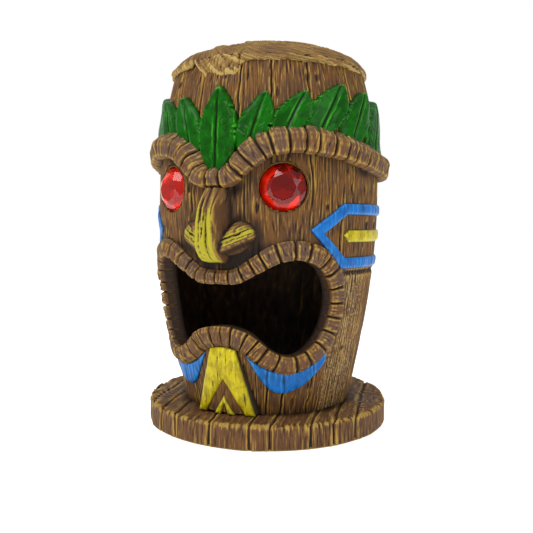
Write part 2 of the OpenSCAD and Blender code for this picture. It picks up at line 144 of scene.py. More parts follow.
def running(points: Array) -> Array:
    """Length run from the first of some points to each."""
    return np.concatenate([[0], np.cumsum(np.hypot(*np.diff(points, axis=0).T))])


def smooth_curve(points: Outline, steps: int, closed: bool) -> Array:
    """Smooth curve through points, with some steps to each; a closed one ends at its start."""
    p = np.array(points, float)
    p = np.vstack([p[-1:], p, p[:2]] if closed else [p[:1], p, p[-1:]])
    t = (np.arange(steps) / steps)[:, None]
    parts = [0.5 * (2 * b + (c - a) * t + (2 * a - 5 * b + 4 * c - d) * t**2
                    + (3 * b - a - 3 * c + d) * t**3)
             for a, b, c, d in zip(p, p[1:], p[2:], p[3:])]
    return np.vstack([*parts, p[-2:-1]])


def distance_in(outline: Outline, x: Array, z: Array, k: Array | float = 1.0,
                closed: bool = True) -> Array:
    """Distance from places to an outline.

    Args:
        outline: Corners of the outline.
        x, z: Places.
        k: Millimetres for one unit of x.
        closed: Whether the outline has an inside.

    Returns:
        Millimetres, positive inside a closed outline and negative elsewhere.
    """
    p = np.array(outline, float)
    best, inside = np.full(np.shape(x), 1e9), np.zeros(np.shape(x), bool)
    for (x0, z0), (x1, z1) in zip(p, np.roll(p, -1, axis=0) if closed else p[1:]):
        ex, ez, px, pz = (x1 - x0) * k, z1 - z0, (x - x0) * k, z - z0
        t = np.clip((px * ex + pz * ez) / (ex * ex + ez * ez + 1e-12), 0, 1)
        best = np.minimum(best, np.hypot(px - t * ex, pz - t * ez))
        if closed and z0 != z1:
            inside ^= ((z0 > z) != (z1 > z)) & (x < (x1 - x0) * (z - z0) / (z1 - z0) + x0)
    return np.where(inside, best, -best)


# ---- materials


def linear(code: str) -> tuple[float, ...]:
    """A shader's linear colour from an sRGB hex value."""
    parts = [int(code[i:i + 2], 16) / 255 for i in (1, 3, 5)]
    return *(c / 12.92 if c <= 0.04045 else ((c + 0.055) / 1.055) ** 2.4 for c in parts), 1.0


def add(tree: Tree, kind: str, settings: dict | None = None,
        inputs: dict | None = None) -> bpy.types.Node:
    """Adds a node.

    Args:
        tree: The node tree to add it to.
        kind: The node's type, without its first words.
        settings: Its properties, by name.
        inputs: For each input's name or number, a value or the socket that feeds it.

    Returns:
        The node.
    """
    node = tree.nodes.new("ShaderNode" + kind)
    for name, value in (settings or {}).items():
        setattr(node, name, value)
    for name, value in (inputs or {}).items():
        if isinstance(value, Socket):
            tree.links.new(value, node.inputs[name])
        else:
            node.inputs[name].default_value = value
    return node


def new_material(name: str) -> tuple[Material, Tree]:
    """An empty node material and its tree."""
    made = bpy.data.materials.new(name)
    made.use_nodes = True
    made.node_tree.nodes.clear()
    return made, made.node_tree


def surface(tree: Tree, inputs: dict) -> None:
    """Adds the Principled shader and joins it to the output."""
    shader = add(tree, "BsdfPrincipled", None, inputs)
    add(tree, "OutputMaterial", None, {"Surface": shader.outputs[0]})


def painted(tree: Tree, name: str, output: str = "Fac") -> Socket:
    """A paint attribute of the mesh."""
    return add(tree, "Attribute", {"attribute_name": name}).outputs[output]


def clouds(tree: Tree, at: Socket, scale: float, detail: float, rough: float = 0.5) -> Socket:
    """Noise texture."""
    return add(tree, "TexNoise", None, {"Vector": at, "Scale": scale, "Detail": detail,
                                        "Roughness": rough}).outputs[0]


def mapped(tree: Tree, value: Socket, low: float, high: float, to_low: float = 0.0,
           to_high: float = 1.0, kind: str = "LINEAR") -> Socket:
    """A value's range carried over to another one."""
    return add(tree, "MapRange", {"interpolation_type": kind},
               {"Value": value, "From Min": low, "From Max": high, "To Min": to_low,
                "To Max": to_high}).outputs[0]


def worked(tree: Tree, operation: str, *values: Socket | float) -> Socket:
    """Arithmetic on values."""
    return add(tree, "Math", {"operation": operation}, dict(enumerate(values))).outputs[0]


def graded(tree: Tree, by: Socket, low: float, high: float, first: Socket | str,
           second: Socket | str) -> Socket:
    """Blends two colours where a value rises from low to high.

    Args:
        tree: The node tree.
        by: The value that picks between them.
        low, high: Where the blend starts and ends.
        first, second: The colours below and above, as sockets or sRGB hex values.

    Returns:
        The blended colour's socket.
    """
    ends = [linear(end) if isinstance(end, str) else end for end in (first, second)]
    share = mapped(tree, by, low, high, kind="SMOOTHSTEP")
    return add(tree, "Mix", {"data_type": "RGBA"},
               {0: share, 6: ends[0], 7: ends[1]}).outputs[2]


@dataclass(frozen=True)
class Finish:
    """A finish with streaks along the carving's grain and colour that follows its relief."""

    name: str
    body: str
    streak_mm: float = 0.5
    stretch: float = 16.0
    streak_gain: float = 0.42
    patch_mm: float = 11.0

    def streaks(self, tree: Tree, detail: float, rough: float = 0.5) -> tuple[Socket, Socket]:
        """Streaks along the grain, and the relief with those streaks added."""
        across = add(tree, "VectorMath", {"operation": "MULTIPLY"},
                     {0: painted(tree, "grain", "Vector"),
                      1: (1 / self.streak_mm, 1 / (self.streak_mm * self.stretch), 1)})
        streaks = clouds(tree, across.outputs[0], 1.0, detail, rough)
        gain = self.streak_gain / 2
        depth = mapped(tree, streaks, 0.34, 0.66, -gain, gain)
        return streaks, worked(tree, "ADD", depth, painted(tree, "wear"))

    def patches(self, tree: Tree, detail: float, rough: float = 0.5) -> Socket:
        """Broad patches of unevenly laid colour."""
        return clouds(tree, painted(tree, "grain", "Vector"), 1 / self.patch_mm, detail, rough)

    def bump(self, tree: Tree, streaks: Socket, strength: float, depth_mm: float) -> Socket:
        """Surface direction roughened by the streaks."""
        return add(tree, "Bump", None, {"Height": streaks, "Strength": strength,
                                        "Distance": depth_mm * MM}).outputs[0]


@dataclass(frozen=True)
class WashedResin(Finish):
    """Cast polyresin, stained with a brown wash and dry-brushed with ochre.

    The wash stays dark in the carving and dry brushing catches every edge, so the colour
    follows the relief. A second colour goes where a mesh marks dry brushing, and also where
    it marks a painted sheen; the dark wash and painted shade that a mesh marks go over all.
    The resin itself is matt to satin.
    """

    body: str = "#69431a"
    other: str = "#593a1e"
    crevice: str = "#1a0d04"
    ridge: str = "#a8863a"
    # Second colour: dry brushing, and on the barrel's right side a painted sheen
    drybrush_and_sheen: str = "#aaa024"

    def make(self) -> Material:
        """Builds the material."""
        made, tree = new_material(f"{self.name}_resin_cast_washed_drybrushed")
        streaks, height = self.streaks(tree, 4.0, 0.62)
        body = graded(tree, self.patches(tree, 3.0), 0.4, 0.6, self.body, self.other)
        washed = graded(tree, height, 0.2, 0.48, self.crevice, body)
        edged = graded(tree, height, 0.56, 0.88, washed, self.ridge)
        dabs = clouds(tree, painted(tree, "grain", "Vector"), 0.9, 3.0)
        laid = worked(tree, "MULTIPLY_ADD", painted(tree, "drybrush_and_sheen"), 0.75,
                      worked(tree, "MULTIPLY_ADD", height, 0.9, dabs))
        brushed = graded(tree, laid, 1.36, 1.74, edged, self.drybrush_and_sheen)
        surface(tree, {
            "Base Color": graded(tree, painted(tree, "wash_and_shade"), 0, 1, brushed, self.crevice),
            "Roughness": mapped(tree, streaks, 0.3, 0.7, 0.6, 0.8), "IOR": 1.5,
            "Specular IOR Level": 0.3, "Normal": self.bump(tree, streaks, 0.55, 0.25)})
        return made


@dataclass(frozen=True, kw_only=True)
class Enamel(Finish):
    """Brushed enamel over the carved resin.

    It fills the finest grain, pools darker in the cuts, wears lighter on the edges and gives
    a wet or satin shine. Dark lines and painted shade that a mesh marks go over it.
    """

    streak_mm: float = 0.7
    stretch: float = 7.0
    streak_gain: float = 0.24
    patch_mm: float = 6.0
    shade: str
    light: str
    line: str = "#1a1009"
    cuts: tuple[float, float] = (0.1, 0.32)
    roughness: float = 0.36
    coat: float = 0.0
    gloss: float = 0.2

    def make(self) -> Material:
        """Builds the material."""
        made, tree = new_material(self.name)
        streaks, height = self.streaks(tree, 3.0)
        body = graded(tree, self.patches(tree, 4.0, 0.6), 0.38, 0.62, self.shade, self.body)
        worn = graded(tree, height, 0.58, 0.95, body, self.light)
        cut = graded(tree, height, *self.cuts, self.line, worn)
        surface(tree, {
            "Base Color": graded(tree, painted(tree, "wash_and_shade"), 0, 1, cut, self.line),
            "Roughness": self.roughness, "IOR": 1.5, "Specular IOR Level": self.gloss,
            "Coat Weight": self.coat, "Coat Roughness": 0.08,
            "Normal": self.bump(tree, streaks, 0.5, 0.12)})
        return made


@dataclass(frozen=True)
class GemFinish:
    """Red gem stuff, each facet of which takes a painted reflection, bright or dark, as a whole.
    """

    name: str
    dark: str
    bright: str
    blend: tuple[float, float]
    roughness: float
    gloss: float
    metallic: float = 0.0
    clear: float = 0.0
    ior: float = 1.5

    def make(self) -> Material:
        """Builds the material."""
        made, tree = new_material(self.name)
        surface(tree, {
            "Base Color": graded(tree, painted(tree, "drybrush_and_sheen"), *self.blend, self.dark,
                                 self.bright),
            "Roughness": self.roughness, "IOR": self.ior, "Metallic": self.metallic,
            "Specular IOR Level": self.gloss, "Transmission Weight": self.clear})
        return made


# ---- meshes


def put(name: str, data: bpy.types.ID) -> bpy.types.Object:
    """Makes an object and links it into the scene."""
    made = bpy.data.objects.new(name, data)
    bpy.context.scene.collection.objects.link(made)
    return made


@dataclass
class Piece:
    """One physical piece: gathers sheets of points into a mesh with its paint attributes."""

    name: str
    points: list[Array] = field(default_factory=list)
    faces: list[Array] = field(default_factory=list)
    paint: list[Array] = field(default_factory=list)
    count: int = 0

    def sheet(self, points: Array, across: Array | float, along: Array | float,
              wash_and_shade: Array | float = 0.0, drybrush_and_sheen: Array | float = 0.0, keep: Array | None = None,
              closed: bool = False, mirror: bool = False, seed: float = 0.0) -> None:
        """Adds a sheet of points, whose first axis runs right and second up, from outside.

        Args:
            points: Places, in rows and columns.
            across, along: Millimetres across and along the grain.
            grime, brush: Dark wash with painted shade, and a second colour for dry brushing,
                painted sheen and painted reflections, from 0 to 1.
            keep: Which cells of the sheet to keep, or all of them.
            closed: Whether the last row joins the first.
            mirror: Whether to mirror it to the left side.
            seed: Sets the sheet's grain apart from that of other sheets.
        """
        n, m = points.shape[:2]
        index = np.arange(n * m).reshape(n, m)
        if mirror:
            points, index = points * [-1, 1, 1], index[::-1]
            keep = None if keep is None else keep[::-1]
        low, high = (index, np.roll(index, -1, axis=0)) if closed else (index[:-1], index[1:])
        quads = np.stack([low[:, :-1], high[:, :-1], high[:, 1:], low[:, 1:]], axis=-1)
        quads = quads if keep is None else quads[keep]
        self.faces.append(quads.reshape(-1, 4) + self.count)
        self.points.append(points.reshape(-1, 3))
        self.paint.append(np.stack([np.broadcast_to(v, (n, m)).ravel() for v in (
            across, along, seed * 31.7, wash_and_shade, drybrush_and_sheen)], axis=-1).astype(float))
        self.count += n * m

    def relief(self, places: Array, quads: Array, normals: Array, steps: int) -> Array:
        """How far each point stands out from its smoothed surroundings."""
        a, b = quads.T.ravel(), np.roll(quads, -1, axis=1).T.ravel()
        n = len(places)
        total = np.maximum(np.bincount(a, minlength=n) + np.bincount(b, minlength=n), 1)
        level = places.copy()
        for _ in range(steps):
            near = [np.bincount(a, v[b], n) + np.bincount(b, v[a], n) for v in level.T]
            level = 0.4 * level + 0.6 * (np.stack(near, axis=-1) / total[:, None])
        return ((places - level) * normals).sum(axis=1)

    def finish(self, material: Material, slot: Slot, node: str, relief_mm: float = 0.2,
               steps: int = 10, flat: bool = False) -> None:
        """Makes the mesh, and hangs it on the frame.

        Args:
            material: Its material.
            slot: The record's slot; not used.
            node: The CAD node that it stands for.
            relief_mm: Relief that counts as fully worn or fully in shadow.
            steps: Smoothing steps that relief is measured against.
            flat: Whether its facets stay flat.
        """
        places, quads = np.vstack(self.points), np.vstack(self.faces)
        used, flat_quads = np.unique(quads, return_inverse=True)
        places, paint = places[used], np.vstack(self.paint)[used]
        quads = flat_quads.reshape(-1, 4)
        mesh = bpy.data.meshes.new(self.name)
        mesh.from_pydata((places * MM).tolist(), [], quads.tolist())
        normals = np.zeros(len(places) * 3, np.float32)
        mesh.vertex_normals.foreach_get("vector", normals)
        relief = self.relief(places, quads, normals.reshape(-1, 3), steps)
        for name, values in (("wear", 0.5 + relief / (2 * relief_mm)),
                             ("wash_and_shade", paint[:, 3]), ("drybrush_and_sheen", paint[:, 4])):
            mesh.attributes.new(name, "FLOAT", "POINT").data.foreach_set(
                "value", np.clip(values, 0, 1).astype(np.float32))
        mesh.attributes.new("grain", "FLOAT_VECTOR", "POINT").data.foreach_set(
            "vector", paint[:, :3].astype(np.float32).ravel())
        mesh.shade_flat() if flat else mesh.shade_smooth()
        mesh.materials.append(material)
        made = put(self.name, mesh)
        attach(made, "root")
        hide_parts(node)
        LOG.info("%s: %d points, %d faces, for %s", self.name, len(places), len(quads), node)


# ---- the barrel and its face


@dataclass(frozen=True)
class Profile:
    """The barrel's outer face, as the frame has it."""

    base_z: float
    belly_z: float
    top_z: float
    base_r: float
    belly_r: float
    neck_r: float
    lower_swell: float = 1.7
    upper_swell: float = 2.3

    @classmethod
    def from_frame(cls, belly_drop: float = 6.0) -> "Profile":
        """Reads the barrel's sizes from its CAD node; the belly lies a little below the eyes."""
        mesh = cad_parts["barrel"].data
        co = np.zeros(len(mesh.vertices) * 3, np.float32)
        mesh.vertices.foreach_get("co", co)
        x, y, z = (co / MM).reshape(-1, 3).T
        reach, (low, high) = np.hypot(x, y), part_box("gem_right")
        return cls(base_z=z.min(), top_z=z.max(), belly_z=(low.z + high.z) / 2 / MM - belly_drop,
                   base_r=reach[z < z.min() + 0.05].max(), belly_r=y.max(),
                   neck_r=reach[z > z.max() - 0.05].max())

    def radius(self, z: Array | float) -> Array:
        """Radius of the barrel at a height."""
        z = np.clip(z, self.base_z, self.top_z)
        below = np.clip((self.belly_z - z) / (self.belly_z - self.base_z), 0, 1)
        above = np.clip((z - self.belly_z) / (self.top_z - self.belly_z), 0, 1)
        return (self.belly_r - (self.belly_r - self.base_r) * below**self.lower_swell
                - (self.belly_r - self.neck_r) * above**self.upper_swell)

    def place(self, a: Array, z: Array, out: Array | float) -> Array:
        """Points at an angle and height, at a distance out from the barrel."""
        return around(a, z, self.radius(z) + out)

    def mm_per_degree(self, z: Array | float) -> Array:
        """Millimetres round the barrel for one degree."""
        return self.radius(z) * math.pi / 180


class Line:
    """A line of places on the barrel, asked for by its running length."""

    def __init__(self, places: Array, profile: Profile, closed: bool) -> None:
        """Takes the places in order; a closed line ends where it starts."""
        self.places, self.profile, self.closed = places, profile, closed
        da, dz = np.diff(places, axis=0).T
        k = profile.mm_per_degree((places[1:, 1] + places[:-1, 1]) / 2)
        self.lengths = np.concatenate([[0], np.cumsum(np.hypot(da * k, dz))])
        self.total = float(self.lengths[-1])

    def at(self, s: Array) -> tuple[Array, Array]:
        """Angle and height at running lengths."""
        s = s % self.total if self.closed else np.clip(s, 0, self.total)
        return tuple(np.interp(s, self.lengths, column) for column in self.places.T)

    def side(self, s: Array, reach: float = 2.5) -> tuple[Array, Array]:
        """Unit direction to the line's left, in millimetres round and up."""
        (a0, z0), (a1, z1) = self.at(s - reach), self.at(s + reach)
        du, dz = (a1 - a0) * self.profile.mm_per_degree(self.at(s)[1]), z1 - z0
        return -dz / np.hypot(du, dz), du / np.hypot(du, dz)


@dataclass
class Face:
    """Where the features of the face lie on the barrel."""

    profile: Profile
    chin_h: float = 24.0
    mouth_h: float = 37.5
    mouth_half_angle: float = 57.0
    valley_rise: float = 4.0
    arch_h: float = 14.0
    cheek_drop: float = 18.0
    eye_angle: float = 31.5
    eye_turn: float = 22.5
    eye_sink: float = 2.3
    lip_w: float = 7.3
    brow_w: float = 11.5
    mouth_shape: Outline = (
        (0, 0.75), (0.18, 0.76), (0.36, 0.87), (0.52, 0.97), (0.68, 1), (0.85, 0.93),
        (0.97, 0.74), (1, 0.52), (0.95, 0.27), (0.82, 0.08), (0.64, 0), (0.46, 0.07),
        (0.25, 0.25), (0, 0.31))
    brow_shape: Outline = (
        (0, 0), (7, 0.05), (14, 0.47), (21, 0.8), (30, 0.96), (41, 1), (53, 0.93), (67, 0.78),
        (83, 0.61), (101, 0.5), (124, 0.44))

    def __post_init__(self) -> None:
        """Works out the heights and the two lines that the bands follow."""
        low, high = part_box("gem_right")
        self.eye_z = (low.z + high.z) / 2 / MM
        self.mouth_z = self.profile.base_z + self.chin_h
        self.cheek_z = self.eye_z - self.cheek_drop
        half = [(a * self.mouth_half_angle, self.mouth_z + s * self.mouth_h)
                for a, s in self.mouth_shape]
        ring = half + [(-a, z) for a, z in half[-2:0:-1]]
        self.mouth = Line(smooth_curve(ring, 6, True), self.profile, True)
        self.brow_half = [(a, self.eye_z + self.valley_rise + s * self.arch_h)
                          for a, s in self.brow_shape]
        arch = [(-a, z) for a, z in self.brow_half[:0:-1]] + self.brow_half
        self.brow = Line(smooth_curve(arch, 7, False), self.profile, False)

    def middle(self, a: Array, end: float) -> Array:
        """Nearness to the middle of the face: 1 there, and 0 from an end angle on."""
        return np.cos(np.radians(90 * np.minimum(np.abs(a) / end, 1)))

    def lip_width(self, a: Array, z: Array) -> Array:
        """Width of the lip band: slimmer under the nose, fuller over the chin."""
        upper = z > self.mouth_z + self.mouth_h / 2
        return self.lip_w + np.where(upper, -1.8, 1.2) * self.middle(a, 30)

    def brow_width(self, a: Array, z: Array) -> Array:
        """Width of the brow band: narrower over the nose."""
        return self.brow_w * (1 - 0.28 * self.middle(a, 18))

    def past_lips(self, a: Array, z: Array) -> Array:
        """Millimetres outward from the mouth's edge."""
        return -distance_in(self.mouth.places[:-1:2], a, z, self.profile.mm_per_degree(z))

    def below_lips(self, a: Array, z: Array) -> Array:
        """Millimetres outward from just under the lip band's outer edge."""
        return self.past_lips(a, z) - self.lip_width(a, z) + 0.6

    def past_brow(self, a: Array, z: Array) -> Array:
        """Millimetres outward from the middle of the brow band."""
        return -distance_in(self.brow.places[::3], a, z, self.profile.mm_per_degree(z), False)

    def eye_axes(self) -> tuple[Array, Array, Array, Array]:
        """Middle of the right gem's back, and its directions right, up and outwards."""
        at, turn = math.radians(self.eye_angle), math.radians(self.eye_turn)
        r = self.profile.belly_r - self.eye_sink
        return tuple(np.array(v) for v in (
            (r * math.sin(at), -r * math.cos(at), self.eye_z),
            (math.cos(turn), math.sin(turn), 0), (0, 0, 1.0),
            (math.sin(turn), -math.cos(turn), 0)))

    def from_eye(self, a: Array, z: Array) -> Array:
        """Distance of places on the barrel from the nearer gem's axis, or 60 far from both."""
        middle, right, up, _ = self.eye_axes()
        p = self.profile.place(np.abs(a), z, 0.0) - middle
        return np.where(np.abs(a) < 75, np.hypot(p @ right, p @ up), 60)


@dataclass
class Barrel:
    """The hollow body: carved staves outside, a dark hollow inside, and the gem sockets."""

    face: Face
    columns: int = 1080
    row_mm: float = 0.9
    wall: float = 5.0
    gem_r: float = 9.08
    rim_w: float = 0.7
    # Stave joints: angle, and the shares of the height between which the joint is open
    joints: Sequence[tuple[float, float, float]] = (
        (9, 0.62, 1.02), (24.8, 0.6, 1.02), (45, 0.6, 1.02), (24.5, -0.1, 0.16),
        (33.6, -0.1, 0.13), (50.5, -0.1, 0.2), (-13, 0.6, 1.02), (-33, 0.6, 1.02),
        (-52, 0.6, 1.02), (-27, -0.1, 0.15), (-44, -0.1, 0.2), (-60, 0.3, 0.62),
        (71, -0.1, 0.4), (70, 0.6, 1.02), (88, -0.1, 0.42), (92, 0.6, 1.02),
        (112, -0.1, 1.02), (131, -0.1, 1.02), (152, -0.1, 1.02), (170, -0.1, 1.02),
        (-72, -0.1, 0.42), (-76, 0.6, 1.02), (-93, -0.1, 0.42), (-97, 0.6, 1.02),
        (-115, -0.1, 1.02), (-136, -0.1, 1.02), (-158, -0.1, 1.02), (-177, -0.1, 1.02),
        (61, 0.44, 0.62), (20, 0.36, 0.5), (-24, 0.38, 0.5))

    def carving(self, a: Array, z: Array) -> Array:
        """Height of the carved stave grain, its joints and the ring round the back."""
        profile, turn = self.face.profile, a / 360
        share = (z - profile.base_z) / (profile.top_z - profile.base_z)
        bend = 0.8 * noise(turn * 24, z / 26, 11, 24)
        h = sum(depth * fibres(turn * cells + bend * cells / 200, z / length, seed, cells)
                for depth, cells, length, seed in ((0.22, 150, 24, 1), (0.3, 330, 15, 2)))
        h = h - 0.38 + 0.3 * noise(turn * 30, z / 30, 3, 30)
        h = h - 0.45 * ramp(noise(turn * 190, z / 7, 5, 190), 0.62, 0.85)
        for n, (angle, low, high) in enumerate(self.joints):
            wander = 0.7 * noise(z / 11, 0, 40 + n) + 0.25 * noise(z / 3.2, 0, 80 + n)
            d = ((a - angle + 180) % 360 - 180) * profile.mm_per_degree(z) - wander
            opened = ramp(share, low - 0.03, low + 0.03) * (
                1 - ramp(share, high - 0.03, high + 0.03))
            h = h - opened * (0.9 * dip(d, 0.34) - 0.1 * (dip(d - 0.9, 0.5) + dip(d + 0.9, 0.5)))
        ring = ramp(np.abs(a), 63, 68) * dip(z - self.face.cheek_z + 14.4, 0.7)
        return h - 0.7 * ring

    def wash(self, a: Array, z: Array) -> Array:
        """Dark wash and painted shade around the raised features, along the barrel's foot and
        round the nose.
        """
        face = self.face
        lips = face.past_lips(a, z) - face.lip_w
        brow = face.past_brow(a, z) - 0.5 * face.brow_w
        eyes = face.from_eye(a, z) - self.gem_r - self.rim_w
        x = np.abs(face.profile.radius(z) * np.sin(np.radians(np.clip(a, -60, 60))))
        wing = np.maximum(-distance_in(Nose.wing, x, z), 0)
        ridge = np.hypot(np.maximum(x - 4, 0), np.maximum(np.abs(z - 83) - 13, 0))
        around_all = ((0.62, lips, 2.0), (0.7, brow, 2.4), (0.15, eyes, 1.0),
                      (0.5, z - face.profile.base_z, 2.2), (0.85, np.minimum(wing, ridge), 3.2))
        blotch = 0.75 + 0.5 * noise(a / 5, z / 7, 21)
        return blotch * sum(depth * dip(d, width) for depth, d, width in around_all)

    def socket(self, piece: Piece, mirror: bool) -> None:
        """Adds the raised rim that a gem sits in."""
        middle, right, up, out = self.face.eye_axes()
        phi = np.radians(np.arange(0, 360, 3.0))
        spoke = np.cos(phi)[:, None] * right + np.sin(phi)[:, None] * up
        foot, level = middle + spoke * (self.gem_r + self.rim_w / 2), np.zeros(len(phi))
        for _ in range(6):
            p = foot + level[:, None] * out
            level -= np.hypot(p[:, 0], p[:, 1]) - self.face.profile.radius(p[:, 2])
        top = np.maximum(1.2, level + 0.25) + 0.1 * noise(phi * 4, 0, 9)
        inner, outer = self.gem_r, self.gem_r + self.rim_w
        # Reach, height from the rim's top, and dark wash with painted shade that deepens into the
        # gap round the gem, from the outside in
        shape = ((outer + 0.5, -3.2, 0.5), (outer + 0.1, -0.7, 0.5), (outer - 0.1, -0.25, 0.42),
                 (outer - 0.4, -0.03, 0.36), (inner + 0.4, 0, 0.36), (inner + 0.1, -0.12, 0.42),
                 (inner, -0.4, 0.6), (inner, -2.4, 1.0))
        points = np.stack([middle + spoke * reach + (top + rise)[:, None] * out
                           for reach, rise, _ in shape], axis=1)
        piece.sheet(points, np.degrees(phi)[:, None] * 0.17, np.arange(8.0),
                    wash_and_shade=np.array(shape)[:, 2], closed=True, mirror=mirror)

    def build(self, finish: Material) -> None:
        """Builds the barrel, the mouth's edge and the hollow."""
        face, profile = self.face, self.face.profile
        piece = Piece("washed_barrel")
        rows = int((profile.top_z - profile.base_z) / self.row_mm)
        a, z = np.broadcast_arrays(once_round(self.columns),
                                   np.linspace(profile.base_z, profile.top_z, rows))
        keep = ((face.past_lips(a, z) > 0.45 * face.lip_w)
                & (face.from_eye(a, z) > self.gem_r + 0.5 * self.rim_w))[:, :-1]
        # Painted sheen: the right side of the lower barrel is laid in a lighter tan, where it
        # catches the light
        right_side_sheen = ramp(a, 52, 60) * (1 - ramp(a, 82, 92)) * (1 - ramp(z, 64, 70))
        piece.sheet(profile.place(a, z, self.carving(a, z)), a * math.pi / 180 * profile.belly_r,
                    z, wash_and_shade=self.wash(a, z), drybrush_and_sheen=0.62 * right_side_sheen, keep=keep, closed=True)
        for mirror in (False, True):
            self.socket(piece, mirror)
        s = np.linspace(0, face.mouth.total, 260, endpoint=False)
        (la, lz), (da, dz) = face.mouth.at(s), face.mouth.side(s)
        # Depth behind the barrel's face, reach over the mouth's edge, and painted shade that
        # deepens into the mouth
        depth, wide, dark = np.array((
            (-self.wall - 0.1, 2.5, 1.0), (-self.wall, 0.3, 0.98), (-4.0, 0.2, 0.94),
            (-2.6, 0.2, 0.88), (-1.2, 0.25, 0.7), (0.3, 0.5, 0.6))).T
        ra = la[:, None] + np.outer(da / profile.mm_per_degree(lz), wide)
        piece.sheet(profile.place(ra, lz[:, None] + np.outer(dz, wide), depth), s[:, None],
                    depth, wash_and_shade=dark, closed=True)
        # The hollow's wall, painted dark all over
        a, z = np.broadcast_arrays(once_round(300),
                                   np.linspace(profile.top_z, profile.base_z, 120))
        lumps = sum(noise(a / 6 * 2**k, z / 9 * 2**k, 61 + k) / 2**k for k in range(3))
        piece.sheet(profile.place(a, z, -self.wall + 0.5 * lumps), a * 0.7, z,
                    wash_and_shade=0.66 + 0.1 * noise(a / 9, z / 12, 3),
                    keep=(face.past_lips(a, z) > 0.8)[:, :-1], closed=True)
        piece.finish(finish, Slot.BARREL, "barrel", relief_mm=0.3, steps=9)


@dataclass
class Band:
    """A raised band of carved blocks that follows a line on the barrel."""

    node: str
    line: Line
    width: Field
    # Cross-section: shares of the width and of the thickness
    section: Outline
    thick: float
    blocks: int
    seed: int
    joint_mm: float = 0.47
    joint_depth: float = 1.2
    samples: int = 21
    taper_mm: float = 0.0

    def build(self, material: Material) -> None:
        """Builds the band, block by block."""
        rng = np.random.default_rng(self.seed)
        closed, total, profile = self.line.closed, self.line.total, self.line.profile
        cuts = np.arange(self.blocks + 1.0) + rng.uniform(-0.13, 0.13, self.blocks + 1)
        cuts[-1] = self.blocks + (cuts[0] if closed else 0)
        cuts[0] = cuts[0] if closed else 0
        cuts *= total / self.blocks
        x = np.linspace(0, 1, self.samples, endpoint=False)
        x = 0.55 * x + 0.45 * (0.5 - 0.5 * np.cos(np.pi * x))
        block, share = np.repeat(np.arange(self.blocks), self.samples), np.tile(x, self.blocks)
        long = np.diff(cuts)[block]
        s = cuts[:-1][block] + share * long
        edge = (np.minimum(share, 1 - share) * long)[:, None]
        corners = np.array(self.section, float)
        run = running(corners * [10.0, self.thick])
        v = np.append(np.arange(0, run[-1], 0.42), run[-1])
        q = np.stack([np.interp(v, run, column) for column in corners.T], axis=1)
        q[1:-1] = 0.25 * q[:-2] + 0.5 * q[1:-1] + 0.25 * q[2:]
        off, level = q.T
        (a, z), (side_a, side_z) = self.line.at(s), self.line.side(s)
        wide, k = self.width(a, z)[:, None], profile.mm_per_degree(z)[:, None]
        lift, spread, lean, skew = (rng.uniform(-1, 1, self.blocks)[block][:, None]
                                    for _ in range(4))
        cut = dip(edge, self.joint_mm)
        centre = 0.5 * (corners[0, 0] + corners[-1, 0])
        u = (off - centre) * (1 + 0.035 * spread) * (1 - 0.1 * cut) + centre
        u = u * wide + 0.5 * cut * dip(off - corners[0, 0], 0.06)
        along = s[:, None] + 0.5 * skew * (off - centre) * (1 - cut)
        hatch = along / 1.05 + 0.5 * noise(along / 4, v / 4, self.seed + 2)
        fine = 1 - 2 * fibres(hatch, v / 6.0, self.seed, gain=1.8)
        lump = noise(along / 3.1, v / 2.7, self.seed + 4)
        out = level * self.thick + ramp(level, 0.1, 0.5) * (
            0.28 * lift + 0.3 * lean * (share[:, None] - 0.5) - 0.18 * fine + 0.14 * lump
            - self.joint_depth * cut - 0.35 * np.exp(-edge / 0.5))
        if self.taper_mm:
            end = np.minimum(s, total - s)[:, None]
            out = out - (self.thick + 1) * (1 - ramp(end, -0.01, self.taper_mm))**2
        points = profile.place(a[:, None] + side_a[:, None] * u / k,
                               z[:, None] + side_z[:, None] * u, out)
        # Ochre dry brushing and a painted highlight along the brow's upper bevel, where light
        # from above falls
        lit_upper_bevel = 0.55 * ramp(off, 0.1, 0.3) if self.taper_mm else 0.0
        # Dark joints between the blocks, and painted shade low down where the band meets the
        # barrel
        piece = Piece(f"washed_{self.node}")
        piece.sheet(points, along, v, drybrush_and_sheen=lit_upper_bevel, closed=closed, seed=self.seed,
                    wash_and_shade=np.maximum(0.9 * cut**2, 0.7 * (1 - ramp(out, 0.0, 1.1))))
        piece.finish(material, Slot.BAND, self.node, relief_mm=0.34, steps=7)


# ---- painted shapes


